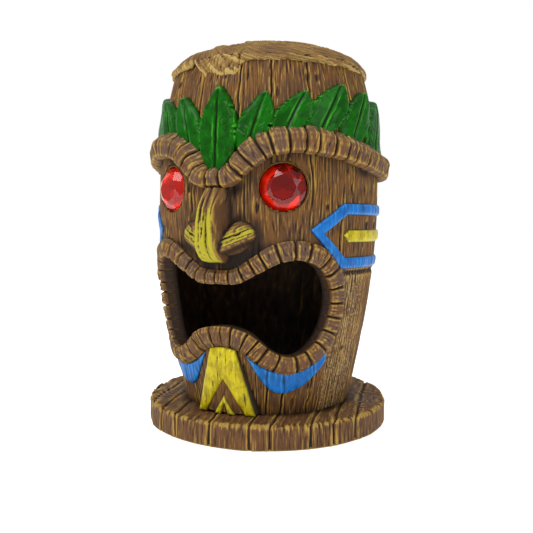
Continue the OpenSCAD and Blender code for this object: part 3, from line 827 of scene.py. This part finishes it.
@dataclass
class Patch:
    """A raised painted shape with rolled edges and a dark line cut round it."""

    node: str
    slot: Slot
    outline: Outline
    holes: Sequence[Outline]
    place: Callable[[Array, Array, Array], Array]
    k: Callable[[Array], Array]
    thick: float
    seed: int
    carving: Field
    trim: Field | None = None
    step: float = 0.4
    edge_mm: float = 0.4
    sink: float = 0.5
    line_mm: float = 0.5

    def build(self, material: Material, side: Side | None = None) -> None:
        """Builds the shape, and mirrors it for the left side."""
        corners, step = np.array(self.outline, float), self.step
        low, high = corners.min(axis=0), corners.max(axis=0)
        across = step / float(self.k(0.5 * (low[1] + high[1])))
        x, z = (g.copy() for g in np.broadcast_arrays(
            np.arange(low[0] - 1.2 * across, high[0] + 2.2 * across, across)[:, None],
            np.arange(low[1] - 1.2 * step, high[1] + 2.2 * step, step)))
        # Distance inside the shape
        d = distance_in(self.outline, x, z, self.k(z))
        for hole in self.holes:
            d = np.minimum(d, -distance_in(hole, x, z, self.k(z)))
        d = np.minimum(d, self.trim(x, z)) if self.trim else d
        # Points just outside move onto the edge
        gx, gz = np.gradient(d, step, step)
        size = np.maximum(gx**2 + gz**2, 0.25)
        usable = d > -1.6 * step
        near = (d < 0) & usable
        x -= np.where(near, d * gx / size / self.k(z), 0)
        z -= np.where(near, d * gz / size, 0)
        used, over = ([g[:-1, :-1], g[1:, :-1], g[:-1, 1:], g[1:, 1:]] for g in (usable, d > 0))
        keep = np.all(used, axis=0) & np.any(over, axis=0)
        d = np.maximum(d, 0)
        out = (self.thick + self.sink) * (1 - np.exp(-d / self.edge_mm)) - self.sink
        out = out + 0.1 * noise(x * self.k(z) / 2.3, z / 3.1, self.seed)
        node = f"{self.node}_{side.value}" if side else self.node
        piece = Piece(f"painted_{node}")
        piece.sheet(self.place(x, z, out + 0.6 * self.carving(x, z)), x * self.k(z), z,
                    wash_and_shade=dip(d, self.line_mm), keep=keep, mirror=side is Side.LEFT,
                    seed=self.seed + (side.seed if side else 0))
        piece.finish(material, self.slot, node, relief_mm=0.3, steps=6)


@dataclass
class WarPaint:
    """The cheek arrows, cheek bars and chin swooshes on the barrel."""

    barrel: Barrel
    thick: float = 1.0
    arrow_h: float = 26.0
    arm_w: float = 5.0
    bar_h: float = 5.4
    end_angle: float = 112.0
    swoosh: Outline = (
        (9, 4.5), (20, 1.5), (35, -2.5), (48, 0), (56, 4), (59, -3), (49, -11), (40, -14.5),
        (32, -15.5), (25, -13.5), (19, -8.5), (14, -2.5))

    def pointed(self, tip: tuple[float, float], start: float, end: float, half: float
                ) -> Outline:
        """A shape that points at the nose and runs back round the barrel."""
        mid = self.barrel.face.cheek_z
        return ((tip[0], mid + tip[1]), (start, mid + half), (end, mid + half),
                (end, mid - half), (start, mid - half))

    def build(self, blue: Material, yellow: Material) -> None:
        """Builds the shapes of both sides."""
        face, half = self.barrel.face, self.arrow_h / 2
        arrow = self.pointed((43.5, 2.5), 62, self.end_angle, half)
        inner = self.pointed((52.2, 1), 64.5, self.end_angle + 9, half - self.arm_w)
        bar = self.pointed((62, 0.5), 66, self.end_angle, self.bar_h / 2)
        swoosh = smooth_curve([(a, z + face.mouth_z) for a, z in self.swoosh], 5, True)[:-1]
        common = {"place": face.profile.place, "k": face.profile.mm_per_degree,
                  "thick": self.thick, "carving": self.barrel.carving}
        for side in Side:
            Patch("cheek_arrow", Slot.BLUE, arrow, (inner,), seed=3, **common).build(blue, side)
            Patch("cheek_bar", Slot.YELLOW, bar, (), seed=5, **common).build(yellow, side)
            Patch("chin_swoosh", Slot.BLUE, swoosh, (), seed=8, trim=face.below_lips,
                  **common).build(blue, side)


@dataclass
class Chin:
    """The leaning chin plate with its two yellow chevrons."""

    face: Face
    radius: float = 40.2
    lean: float = 2.2
    half_w: float = 13.0
    top_half_w: float = 6.0
    leg_w: float = 4.3
    thick: float = 1.3

    def place(self, x: Array, z: Array, out: Array) -> Array:
        """Points on the plate's face, a distance out from it."""
        reach = self.radius + self.lean * (z - self.face.profile.base_z) / self.face.chin_h + out
        return np.stack([x, -np.sqrt(np.maximum(reach**2 - x**2, 1)), z + 0 * x], axis=-1)

    def cuts(self, x: Array, z: Array) -> Array:
        """Short cuts that run up the plate."""
        return 0.5 * fibres(x / 1.3, z / 8, 31, gain=2) - 0.4

    def below_lips(self, x: Array, z: Array) -> Array:
        """Millimetres down from just under the lip band's outer edge."""
        return self.face.below_lips(np.degrees(x / self.radius), z)

    def build(self, wood: Material, yellow: Material) -> None:
        """Builds the plate and the chevrons."""
        base, h = self.face.profile.base_z, self.face.chin_h
        top = self.face.mouth_z + 0.31 * self.face.mouth_h - self.face.lip_w / 2
        foot, head, knee = self.half_w, self.top_half_w, self.face.mouth_z + 2
        inner = foot - self.leg_w
        plate = ((-foot, base), (-head, knee), (-head, top), (head, top), (head, knee),
                 (foot, base))
        recess = ((-inner, base - 1), (-inner, base), (0, base + 0.58 * h), (inner, base),
                  (inner, base - 1))
        small = ((-5, base), (0, base + 0.36 * h), (5, base))
        notch = ((-1.6, base - 1), (0, base + 0.17 * h), (1.6, base - 1))
        common = {"place": self.place, "k": np.ones_like, "carving": self.cuts, "step": 0.33,
                  "trim": self.below_lips}
        Patch("chin_plate", Slot.BARREL, plate, (), thick=0.0, sink=5.5, edge_mm=0.35, seed=2,
              line_mm=1.0, **common).build(wood)
        Patch("chin_chevron_large", Slot.YELLOW, plate, (recess,), thick=self.thick, seed=6,
              edge_mm=0.7, **common).build(yellow)
        Patch("chin_chevron_small", Slot.YELLOW, small, (notch,), thick=self.thick - 0.2,
              edge_mm=0.5, seed=9, **common).build(yellow)


# ---- nose and leaves


@dataclass
class Nose:
    """A ridge with a long cut down it, and two folded wings."""

    face: Face
    half_w: float = 16.4
    low_z: float = 69.6
    high_z: float = 98.0
    step: float = 0.3
    # Height and how far the ridge stands out there
    ridge: Outline = ((69.4, 3.0), (70.6, 6.0), (72.2, 8.4), (74.5, 10.2), (77.5, 11.1),
                      (85, 10.7), (90, 9.4), (94, 7.0), (98, 4.0))
    # Outline of the right wing as x and height, and the line that it folds along
    wing: Outline = ((2.5, 72.4), (7.5, 72.6), (11.5, 74.2), (14.6, 77.2), (15.9, 80.3),
                     (14.6, 83.9), (10.5, 86.2), (7.2, 85), (4.6, 81.5), (2.5, 79))
    fold: Outline = ((4.2, 74.8), (15.2, 80.0))
    fold_out: tuple[float, float] = (8.4, 4.2)

    def wing_out(self, x: Array, z: Array) -> tuple[Array, Array, Array]:
        """Shape of a wing.

        Args:
            x, z: Places in front view, on the right side.

        Returns:
            How far it stands out, the distance above the fold, and the distance inside.
        """
        (x0, z0), (x1, z1) = self.fold
        long = math.hypot(x1 - x0, z1 - z0)
        ux, uz = (x1 - x0) / long, (z1 - z0) / long
        t = np.clip(((x - x0) * ux + (z - z0) * uz) / long, -0.3, 1.2)
        above = (z - z0) * ux - (x - x0) * uz
        inside = distance_in(smooth_curve(self.wing, 4, True)[:-1], x, z)
        root, end = self.fold_out
        out = root + (end - root) * t + 0.5 * np.sin(np.pi * np.clip(t, 0, 1))
        out = out - np.where(above > 0, 0.34 * above, -1.25 * above)
        out = out - 0.9 * dip(above - 3.4 + 1.2 * t, 0.5) * (1 - ramp(t, 0.55, 0.9))
        return out + 0.55 * dip(above - 4.9, 1.3), above, inside

    def build(self, material: Material) -> None:
        """Builds the nose as one carved surface."""
        x, z = np.broadcast_arrays(
            np.arange(-self.half_w, self.half_w + self.step, self.step)[:, None],
            np.arange(self.low_z, self.high_z, self.step))
        side = np.abs(x)
        past = side - np.interp(z, [70, 76, 92, 98], [3.5, 3.7, 3.0, 2.3])
        flank = 1 - ramp(past / np.interp(z, [70, 74, 80], [1.4, 2.4, 3.6]), -0.14, 1.0)
        ridge = np.interp(z, *np.array(self.ridge).T) * flank - 0.25 * np.maximum(past, 0)
        ridge = ridge + 0.3 * dip(past + 0.8, 0.8) - 0.5 * dip(side, 1.2)
        ridge = ridge - 1.0 * dip(x - 0.7, 0.34) * ramp(z, 73.2, 75) * (1 - ramp(z, 88, 91))
        ridge = ridge - 0.35 * dip(x + 1.7 + 0.3 * noise(z / 5, 0, 3), 0.3)
        ridge = np.where(z < 70.6, ridge * ramp(z, 69.2, 70.8), ridge)
        out, above, inside = self.wing_out(side, z)
        wing = out * (1 - np.exp(-np.maximum(inside, 0) / 0.8)) - 0.9
        on_wing, blend = wing > ridge, 1.2
        upper_side = above > 0
        fold_cuts = fibres(np.where(upper_side, above / 0.9, x / 1.1),
                           np.where(upper_side, side / 6, z / 8), 17, gain=2)
        cuts = np.where(on_wing, fold_cuts, fibres(x / 0.8, z / 15, 19, gain=2))
        top = np.maximum(ridge, wing) + 0.25 * blend * dip(ridge - wing, blend)
        h = np.maximum(top + (0.6 * cuts - 0.4) * ramp(top, 0.5, 2), -1.2)
        reach = np.sqrt(np.maximum(self.face.profile.radius(z)**2 - x**2, 1))
        front = (1 - ramp(past, -0.6, 0.5)) * (1 - 0.8 * ramp(z, 82, 95))
        upper = on_wing * ramp(above, -0.3, 0.6) * ramp(inside, 0.2, 1.2) * (
            0.45 + 0.55 * dip(above - 2.2, 1.6))
        under = on_wing * (1 - ramp(above, -1.6, 0.3)) * (0.35 + 0.5 * dip(above + 1.2, 1.6))
        # Painted shade under the wing's fold, on low parts near the barrel and in the hollow
        # beside the ridge's flank
        shade = np.maximum(np.maximum(under, 0.85 * (1 - ramp(top, 0.4, 2.4))),
                           0.6 * dip(past - 3.4, 1.8) * (wing < 1))
        piece = Piece("washed_nose")
        piece.sheet(np.stack([x, -reach - h, z], axis=-1), np.where(on_wing, above, x),
                    np.where(on_wing, side, z), wash_and_shade=shade,
                    drybrush_and_sheen=np.maximum(front, 0.95 * upper),
                    keep=((top > -0.3) & (side < self.half_w))[:-1, :-1])
        piece.finish(material, Slot.NOSE, "nose", relief_mm=0.32, steps=8)


@dataclass
class Leaf:
    """A pointed leaf with a midrib, slanting veins and nicked edges."""

    face: Face
    number: int
    root: float
    tip: float
    half_angle: float
    tip_drop: float
    thick: float = 2.4
    rows: int = 84
    columns: int = 46
    sink: float = 0.8

    def build(self, material: Material, side: Side | None) -> None:
        """Builds the leaf."""
        profile = self.face.profile
        seed = 7 * self.number + (side.seed if side else 0)
        rng = np.random.default_rng(100 + seed)
        root_z = float(np.interp(self.root, *np.array(self.face.brow_half).T))
        rise_z, lean = profile.top_z - self.tip_drop - root_z, self.tip - self.root
        t = np.linspace(0, 1, self.rows)[None, :]
        s = np.linspace(-1, 1, self.columns)[:, None]
        s = 0.5 * np.sin(s * math.pi / 2) + 0.5 * s
        flank = np.abs(s)
        z = root_z + rise_z * t
        k = profile.mm_per_degree(z)
        nick = np.zeros_like(s * t)
        for way in (-1, 1):
            for at in rng.uniform(0.35, 0.93, 4):
                nick += (np.sign(s) == way) * ramp(t, at - 0.045, at) * (
                    1 - ramp(t, at, at + 0.012)) * rng.uniform(0.05, 0.12)
        half = np.sin(np.pi * t**0.95)**0.72 * self.half_angle * k * 1.06
        half = half * (1 - nick * ramp(flank, 0.3, 1)) + 0.05
        across, edge = s * half, (1 - flank) * half
        run = t * math.hypot(rise_z, lean * float(k.mean()))
        vein = (run - 0.85 * np.abs(across)) / 3.0 + 0.25 * noise(run / 6, across / 6, seed)
        vein = dip((vein % 1) - 0.5, 0.1) * ramp(np.abs(across), 0.6, 2.0) * ramp(edge, 0.3, 1)
        veined = ramp(noise(run / 2.6, np.sign(s) * 3.0, seed + 9), -0.1, 0.5)
        top = self.thick * (0.62 + 0.5 * t) + 0.55 * (s if self.root > 0 else 0)
        top = top + 0.35 * np.sin(np.pi * flank) - 0.45 * dip(across, 0.45) * (
            1 - ramp(t, 0.88, 0.98))
        top = top + 0.2 * dip(np.abs(across) - 1.2, 0.9) - 0.2 * vein * veined
        top = top + 0.22 * noise(across / 3.4, run / 4.5, seed + 3) + 0.1 * noise(
            across / 1.2, run / 5, seed + 5)
        out = (top + self.sink) * (1 - np.exp(-edge / 0.42)) - self.sink
        out = np.where(t > 0.97, out * (1 - ramp(t, 0.97, 1.0)) - 0.1, out)
        # Painted shade along the edges and towards the root, where the leaf comes out from behind
        # the brow, and darker down the midrib
        shade = np.maximum(0.9 * dip(edge, 0.3), 0.38 * dip(across, 0.3))
        shade = np.maximum(shade, 0.55 * (1 - ramp(t, 0.0, 0.3)) * ramp(flank, 0.2, 1))
        node = f"leaf_{side.value}_{self.number}" if side else "leaf_front"
        piece = Piece(f"painted_{node}")
        piece.sheet(profile.place(self.root + lean * t**1.3 + across / k, z, out), across, run,
                    wash_and_shade=shade, mirror=side is Side.LEFT, seed=seed)
        piece.finish(material, Slot.GREEN, node, relief_mm=0.26, steps=7)


@dataclass
class LeafCrown:
    """The crown of leaves that grows from behind the brow."""

    face: Face
    # Angles of root, tip and half width, and how far the tip stays below the barrel's top
    front: tuple[float, float, float, float] = (0, 0, 9.8, 10.5)
    pairs: Sequence[tuple[float, float, float, float]] = (
        (14, 23, 8.5, 13), (31, 42, 9, 12.5), (47, 63, 11, 8.5), (66, 82, 10.5, 9.5),
        (86, 102, 10, 10.5), (106, 120, 9, 13))

    def build(self, material: Material) -> None:
        """Builds the front leaf and the pairs."""
        Leaf(self.face, 0, *self.front, thick=2.9).build(material, None)
        for number, shape in enumerate(self.pairs, 1):
            for side in Side:
                Leaf(self.face, number, *shape).build(material, side)


# ---- plinth and cap


@dataclass
class Plinth:
    """A round stand of planks with a worn and splintered rim."""

    foot_r: float
    inner_r: float = 0.5
    columns: int = 760
    round_mm: float = 1.1
    lean_deg: float = 103.0
    # Where the plank joints cross the front of the rim
    joints: Sequence[float] = (-46, -37, -27.5, -17.9, -1.3, 15.1, 22.3, 35.2, 41.7, 47.5)

    def section(self, radius: float, h: float) -> Array:
        """Section of the edge: out along the bottom, up the rim, and in along the top."""
        r0, turn = self.round_mm, np.radians(np.linspace(0, 90, 6))
        flat = np.linspace(self.inner_r, radius - r0, 12, endpoint=False)
        rim = np.linspace(r0 / 2, h - r0, 16)[1:-1]
        top = np.linspace(radius - r0, self.inner_r, 46)[1:]
        r = (flat, radius - r0 / 2 + r0 / 2 * np.sin(turn), 0 * rim + radius,
             radius - r0 + r0 * np.cos(turn), top)
        z = (0 * flat, r0 / 2 * (1 - np.cos(turn)), rim, h - r0 + r0 * np.sin(turn), 0 * top + h)
        return np.stack([np.concatenate(r), np.concatenate(z)], axis=1)

    def build(self, finish: Material) -> None:
        """Builds the plinth, with painted shade round the barrel's foot, dark inside it and
        darker along the bottom edge.
        """
        low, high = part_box("plinth")
        radius, h = (high.x - low.x) / 2 / MM, (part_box("barrel")[0].z - low.z) / MM
        path = self.section(radius, h)
        step = np.gradient(path, axis=0)
        out_r, out_z = (step[:, ::-1] * [1, -1] / np.hypot(*step.T)[:, None]).T
        a, (r, z) = once_round(self.columns), path.T
        x, y = r * np.sin(np.radians(a)), -r * np.cos(np.radians(a))
        lean = math.radians(self.lean_deg)
        p = x * math.sin(lean) - y * math.cos(lean)
        q = x * math.cos(lean) + y * math.sin(lean)
        side, turn = np.abs(out_r), a / 360
        flat = 1 - side
        rise = flat * 0.26 * fibres(p / 0.6, q / 13, 51)
        rise = rise + side * 0.26 * fibres(turn * 400, z / 11, 52, 400) - 0.2
        rise = rise + 0.25 * noise(p / 5, q / 17, 53) + side * 0.3 * noise(
            turn * 60, z / 12, 54, 60)
        for n, cross in enumerate(self.joints):
            at = cross * math.sin(lean) + math.sqrt(radius**2 - cross**2) * math.cos(lean)
            d = p - at + 0.4 * noise(q / 9, 0, 60 + n)
            rise = rise - 1.0 * dip(d, 0.38) + 0.1 * dip(np.abs(d) - 1.0, 0.5)
        chips = ramp(noise(turn * 150, 0, 71, 150) + 0.5 * noise(turn * 420, 0, 72, 420),
                     -0.1, 0.5)
        rise = rise + dip(z - h, 1.6) * dip(r - radius, 2.2) * (0.25 - 0.7 * chips)
        rise = np.where(z < 0.1, 0.0, rise) * ramp(r, self.inner_r, self.inner_r + 2)
        # Painted shade round the barrel's foot, and dark over the floor inside it
        shade = (0.7 * dip(r - self.foot_r, 3.2)
                 + 0.8 * (1 - ramp(r, self.foot_r - 8, self.foot_r - 4))) * (z > h / 2)
        piece = Piece("washed_plinth")
        piece.sheet(around(a, np.maximum(z + rise * out_z, 0), r + rise * out_r),
                    flat * p + side * a * math.pi / 180 * radius,
                    flat * q + side * running(path), closed=True,
                    wash_and_shade=np.maximum(shade, 0.35 * (1 - ramp(z, 0, 2.5))))
        centre = around(np.array([[0.0], [120.0], [240.0]]), np.array([[0.0, 0.0]]),
                        np.array([[0.01, self.inner_r]]))
        piece.sheet(centre, 0.0, 0.0, wash_and_shade=0.3, closed=True)
        piece.finish(finish, Slot.PLINTH, "plinth", relief_mm=0.36, steps=9)


@dataclass
class ThatchCap:
    """A low dome of combed strands that ends in a thick rolled rim with a forelock."""

    profile: Profile
    rim_r: float = 41.4
    rise: float = 11.5
    skirt: float = 1.8
    drop: float = 6.6
    columns: int = 820
    strand_mm: float = 1.1
    part_angle: float = 8.5
    forelock: Outline = ((-24, 0), (-21, -0.3), (-17, 0.4), (-12, 0.95), (-4, 1), (5, 0.94),
                         (8, 0.75), (10, 0.1), (13, 0))
    # Radius of the rolled rim, and height from its hanging edge, up to where the dome begins
    roll: Outline = ((36.5, 0.5), (39.4, 0.1), (40.5, 0.0), (41.2, 0.18), (41.6, 0.7),
                     (41.8, 1.3), (41.8, 2.0), (41.7, 2.8), (41.5, 3.5), (41.2, 4.1), (40.9, 4.5))

    def build(self, finish: Material) -> None:
        """Builds the cap."""
        top, a = self.profile.top_z, once_round(self.columns)
        hang = np.interp(a, *np.array(self.forelock).T) * self.drop
        hang = hang + 0.35 * noise(a / 4.0, 0, 5) + 0.2 * noise(a / 1.3, 0, 6)
        low = top - self.skirt + 0.3 - hang * 0.8
        share = 0.985 * np.cos(np.linspace(0, 0.996, 92) * math.pi / 2)
        dome_z = top + self.rise * (1 - share**2.6)**0.62
        roll_r, lift = np.array(self.roll).T
        r = np.concatenate([roll_r, share * self.rim_r]) + 0 * a
        z = np.concatenate([low + (dome_z[0] - low) * lift / lift[-1], dome_z + 0 * a], axis=1)
        r = r + 0.25 * noise(a / 7, z / 3, 8) * ramp(r, 30, 40)
        turn = np.radians(np.interp(a, [-180, -70, -40, -12, 30, 120, 180],
                                    [40, 12, 12, 40, 80, 78, 40]))
        arc = np.radians(360 / self.columns) * self.rim_r
        outward = np.where(np.arange(r.shape[1]) < len(roll_r), dome_z[0] - z,
                           self.rim_r * np.log(np.maximum(r, 2) / self.rim_r))
        across = np.cumsum(np.cos(turn), axis=0) * arc - np.sin(turn) * outward
        along = np.cumsum(np.sin(turn), axis=0) * arc + np.cos(turn) * outward
        lay = across / self.strand_mm + 0.55 * noise(along / 9, across / 5, 14)
        rise = ramp(r, 1, 9) * (
            0.4 * fibres(lay, along / 16, 15, gain=1.9) - 0.4
            + 0.3 * fibres(lay * 2.3, along / 9, 16, gain=1.9)
            + 0.45 * noise(lay / 4.2, along / 22, 17)
            - 0.9 * dip((np.abs(a) - 180) * math.pi / 180 * r, 0.6))
        part = (a - self.part_angle - 0.35 * (self.rim_r - r)) * math.pi / 180 * r
        rise = rise - 0.6 * dip(part, 0.5) * ramp(r, 36, 41) + 0.3 * dip(part + 1.7, 1.0) * ramp(
            r, 34, 40)
        step_r, step_z = np.gradient(r, axis=1), np.gradient(z, axis=1)
        size = np.hypot(step_r, step_z)
        under = (r < 41.0) & (z < dome_z[0])
        rise = np.where(under, 0.15 * rise, rise) / size
        # Painted shade under the rolled rim, darkest along its lowest millimetre
        piece = Piece("washed_thatch_cap")
        piece.sheet(around(a, z - step_r * rise, r + step_z * rise), across, along, closed=True,
                    wash_and_shade=np.where(under, 0.8, 0.0) * (1 - 0.4 * (z - low > 1)))
        piece.finish(finish, Slot.THATCH, "thatch_cap", relief_mm=0.42, steps=6)


# ---- gems


@dataclass
class Gem:
    """A round brilliant-cut flat-back gem: a clear crown over folded mirror foil."""

    face: Face
    shine: float
    radius: float = 9.0
    girdle_h: float = 0.9
    # Radius and height of the crown's and the foil's rings
    mid: tuple[float, float] = (7.3, 2.95)
    table: tuple[float, float] = (4.9, 4.4)
    foil_in: tuple[float, float] = (5.6, 0.15)
    foil_h: float = 0.55

    def ring(self, count: int, first: float, r: float, h: float) -> list[Array]:
        """Corners on a circle, in the gem's own directions, with the first ones repeated."""
        turn = np.radians(first + np.arange(count) * 360 / count)
        made = [np.array([r * math.cos(t), r * math.sin(t), h]) for t in turn]
        return made + made[:3]

    def crown(self) -> list[list[Array]]:
        """Facets of the clear crown, each as its corners."""
        lower, girdle = (self.ring(16, 0, self.radius, h) for h in (-0.1, self.girdle_h))
        mid, table = self.ring(8, 22.5, *self.mid), self.ring(8, 0, *self.table)
        made = [table[:8]]
        for k in range(8):
            g = girdle[2 * k:]
            made += [[table[k], mid[k], table[k + 1]], [table[k], mid[(k - 1) % 8], g[0], mid[k]],
                     [mid[k], g[0], g[1]], [mid[k], g[1], g[2]]]
        return made + [[girdle[k], lower[k], lower[k + 1], girdle[k + 1]] for k in range(16)]

    def foil(self) -> list[list[Array]]:
        """Folds of the mirror foil, each as its corners."""
        rim = self.ring(16, 0, self.radius - 0.25, self.foil_h)
        star, centre, made = self.ring(8, 22.5, *self.foil_in), np.array([0, 0, 0.5]), []
        for k in range(8):
            o = rim[2 * k:]
            made += [[centre, star[k], star[k + 1]], [star[k], o[0], o[1]],
                     [star[k], o[1], o[2]], [star[k], o[2], star[k + 1]]]
        return made

    def build(self, clear: Material, foil: Material, side: Side) -> None:
        """Builds the crown and the foil, each facet of them from quads of its own."""
        origin, *axes = self.face.eye_axes()
        for name, material, shapes in (("polished", clear, self.crown()),
                                       ("foil", foil, self.foil())):
            piece = Piece(f"{name}_gem_{side.value}")
            rng = np.random.default_rng(4 + side.seed)
            for shape in shapes:
                middle = np.mean(shape, axis=0)
                # Painted reflection: each facet is lit or darkened as a whole, brighter on one
                # lower side and dark over the table, with random spread
                painted_reflection = self.shine - 0.4 * math.tanh((middle[0] + middle[1]) / 3.5)
                painted_reflection = painted_reflection + rng.uniform(-0.34, 0.34)
                painted_reflection = 0.5 * self.shine if np.hypot(*middle[:2]) < 4 else painted_reflection
                for last, here, after in zip(shape[-1:] + shape, shape, shape[1:] + shape[:1]):
                    quad = np.array([[middle, (here + after) / 2], [(here + last) / 2, here]])
                    piece.sheet(quad @ np.stack(axes) + origin, quad[..., 0], quad[..., 1],
                                drybrush_and_sheen=painted_reflection, mirror=side is Side.LEFT, seed=side.seed)
            piece.finish(material, Slot.RED, f"gem_{side.value}", flat=True)


# ---- studio


@dataclass
class Studio:
    """A pale floor, soft lights and the camera."""

    azimuth: float = 24.59
    distance_mm: float = 293.64
    height_mm: float = 85.30
    yaw: float = -0.0028
    pitch: float = 0.0669
    roll: float = 0.0071
    lens_mm: float = 44.9
    floor_side: float = 6.0
    floor_glow: float = 0.6

    def floor(self) -> None:
        """Lays a plain white floor under the object."""
        mesh = bpy.data.meshes.new("studio_floor")
        h = self.floor_side / 2
        mesh.from_pydata([(-h, -h, 0), (h, -h, 0), (h, h, 0), (-h, h, 0)], [], [(0, 1, 2, 3)])
        made, tree = new_material("studio_floor_matt_white")
        surface(tree, {"Base Color": linear("#f8f8f8"), "Roughness": 1.0, "IOR": 1.0,
                       "Emission Color": (1, 1, 1, 1), "Emission Strength": self.floor_glow})
        mesh.materials.append(made)
        floor = put("studio_floor", mesh)
        floor.location.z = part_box("plinth")[0].z - 0.0002

    def light(self, name: str, azimuth: float, elevation: float, reach: float, size: float,
              watts: float, aim_z: float = 0.085) -> None:
        """Hangs a soft square light that faces the object."""
        data = bpy.data.lights.new(name, "AREA")
        data.shape, data.size, data.energy = "SQUARE", size, watts
        lamp = put(name, data)
        a, e = math.radians(azimuth), math.radians(elevation)
        back = Vector((math.sin(a) * math.cos(e), -math.cos(a) * math.cos(e), math.sin(e)))
        lamp.location = Vector((0, 0, aim_z)) + back * reach
        lamp.rotation_euler = (-back).to_track_quat("-Z", "Y").to_euler()

    def world(self, near: float, far: float) -> None:
        """Surrounds everything with white, brighter beyond the object than before it."""
        world = bpy.data.worlds.new("studio_white")
        bpy.context.scene.world = world
        world.use_nodes = True
        tree, a = world.node_tree, math.radians(self.azimuth)
        tree.nodes.clear()
        ahead = add(tree, "VectorMath", {"operation": "DOT_PRODUCT"},
                    {0: add(tree, "TexCoord").outputs["Generated"],
                     1: (-math.sin(a), math.cos(a), 0)})
        level = mapped(tree, ahead.outputs["Value"], 0.3, 0.8, near, far, "SMOOTHSTEP")
        sky = add(tree, "Background", None, {"Color": (1, 1, 1, 1), "Strength": level})
        add(tree, "OutputWorld", None, {"Surface": sky.outputs[0]})

    def camera(self) -> None:
        """Sets up the camera: it stands at the azimuth, then yaws, tips down and rolls."""
        data = bpy.data.cameras.new("camera")
        data.lens, data.sensor_width = self.lens_mm, 36.0
        data.clip_start, data.clip_end = 0.01, 20.0
        place = Matrix.Rotation(math.radians(self.azimuth), 4, "Z") @ Matrix.Translation(
            (0, -self.distance_mm * MM, self.height_mm * MM))
        for angle, axis in ((math.pi / 2, "X"), (-self.yaw, "Y"), (-self.pitch, "X"),
                            (self.roll, "Z")):
            place = place @ Matrix.Rotation(angle, 4, axis)
        bpy.context.scene.camera = put("camera", data)
        bpy.context.scene.camera.matrix_world = place

    def build(self) -> None:
        """Builds the studio."""
        self.floor()
        self.light("key_soft", self.azimuth - 42, 46, 0.9, 0.55, 4.5)
        self.light("fill_soft", self.azimuth + 48, 30, 1.0, 0.6, 2.0)
        self.light("top_soft", self.azimuth + 10, 82, 0.9, 0.6, 2.0)
        self.world(0.38, 1.0)
        self.camera()
        bpy.context.scene.view_settings.view_transform = "Standard"


def main() -> None:
    """Builds every piece in order, then the studio, and notes the sizes."""
    logging.basicConfig(level=logging.INFO, format="%(message)s")
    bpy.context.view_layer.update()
    profile = Profile.from_frame()
    face = Face(profile)
    barrel = Barrel(face)

    # The barrel's second colour is the tan of its painted sheen
    wood = WashedResin("barrel", drybrush_and_sheen="#a98f5c").make()
    barrel.build(wood)
    Plinth(profile.base_r).build(WashedResin("plinth", body="#664222").make())
    ThatchCap(profile).build(WashedResin("thatch", body="#80602f", other="#6c4d28",
                                         ridge="#b39655", streak_gain=0.34).make())
    # The band's second colour is ochre, for dry brushing and the painted highlight on the brow's
    # upper bevel
    band = WashedResin("band", body="#664326", other="#5c4232", drybrush_and_sheen="#a68a4e",
                       streak_mm=0.55, stretch=9.0, streak_gain=0.36).make()
    Band("lip_band", face.mouth, face.lip_width, (
        (0, -1), (0, -0.4), (0, 0.7), (0.2, 1), (0.75, 0.88), (1, 0.4), (1, -0.4)),
         thick=3.2, blocks=44, seed=3).build(band)
    Band("brow_band", face.brow, face.brow_width, (
        (-0.46, -0.3), (-0.47, 0.45), (-0.38, 0.82), (0.02, 1), (0.2, 0.9), (0.47, 0.22),
        (0.5, -0.3)), thick=5.4, blocks=37, seed=5, joint_mm=0.55, taper_mm=5.0).build(band)
    Nose(face).build(WashedResin("nose", body="#75522c", streak_mm=0.7).make())
    LeafCrown(face).build(Enamel(
        "green_enamel_brushed_gloss", "#0c5c04", shade="#084303", light="#3a9620",
        line="#0a1f06", cuts=(0.12, 0.34), roughness=0.42, coat=0.16, gloss=0.06).make())
    yellow = Enamel("yellow_enamel_brushed_satin", "#c2b008", shade="#a08e0c",
                    light="#cfc430", line="#20140a", streak_gain=0.5, patch_mm=3.5,
                    cuts=(0.14, 0.36)).make()
    blue = Enamel("blue_enamel_brushed_satin", "#0a6abc", shade="#08589e", light="#3084c8",
                  streak_mm=0.8, streak_gain=0.34, cuts=(0.06, 0.36)).make()
    WarPaint(barrel).build(blue, yellow)
    Chin(face).build(wood, yellow)
    # Dark and bright ends of the painted reflections on the gems' facets
    clear = GemFinish("red_acrylic_polished_facets", "#b4140a", "#ff7450", (0.1, 0.9),
                      roughness=0.03, gloss=0.06, clear=1.0, ior=1.49).make()
    foil = GemFinish("red_foil_bonded_mirror", "#6a0606", "#ff6a44", (0, 1),
                     roughness=0.22, gloss=0.1, metallic=0.6).make()
    # The left gem's painted reflection is brighter than the right one's
    for side in Side:
        Gem(face, shine=0.7 if side is Side.RIGHT else 1.25).build(clear, foil, side)

    Studio().build()


if __name__ == "__main__":
    main()
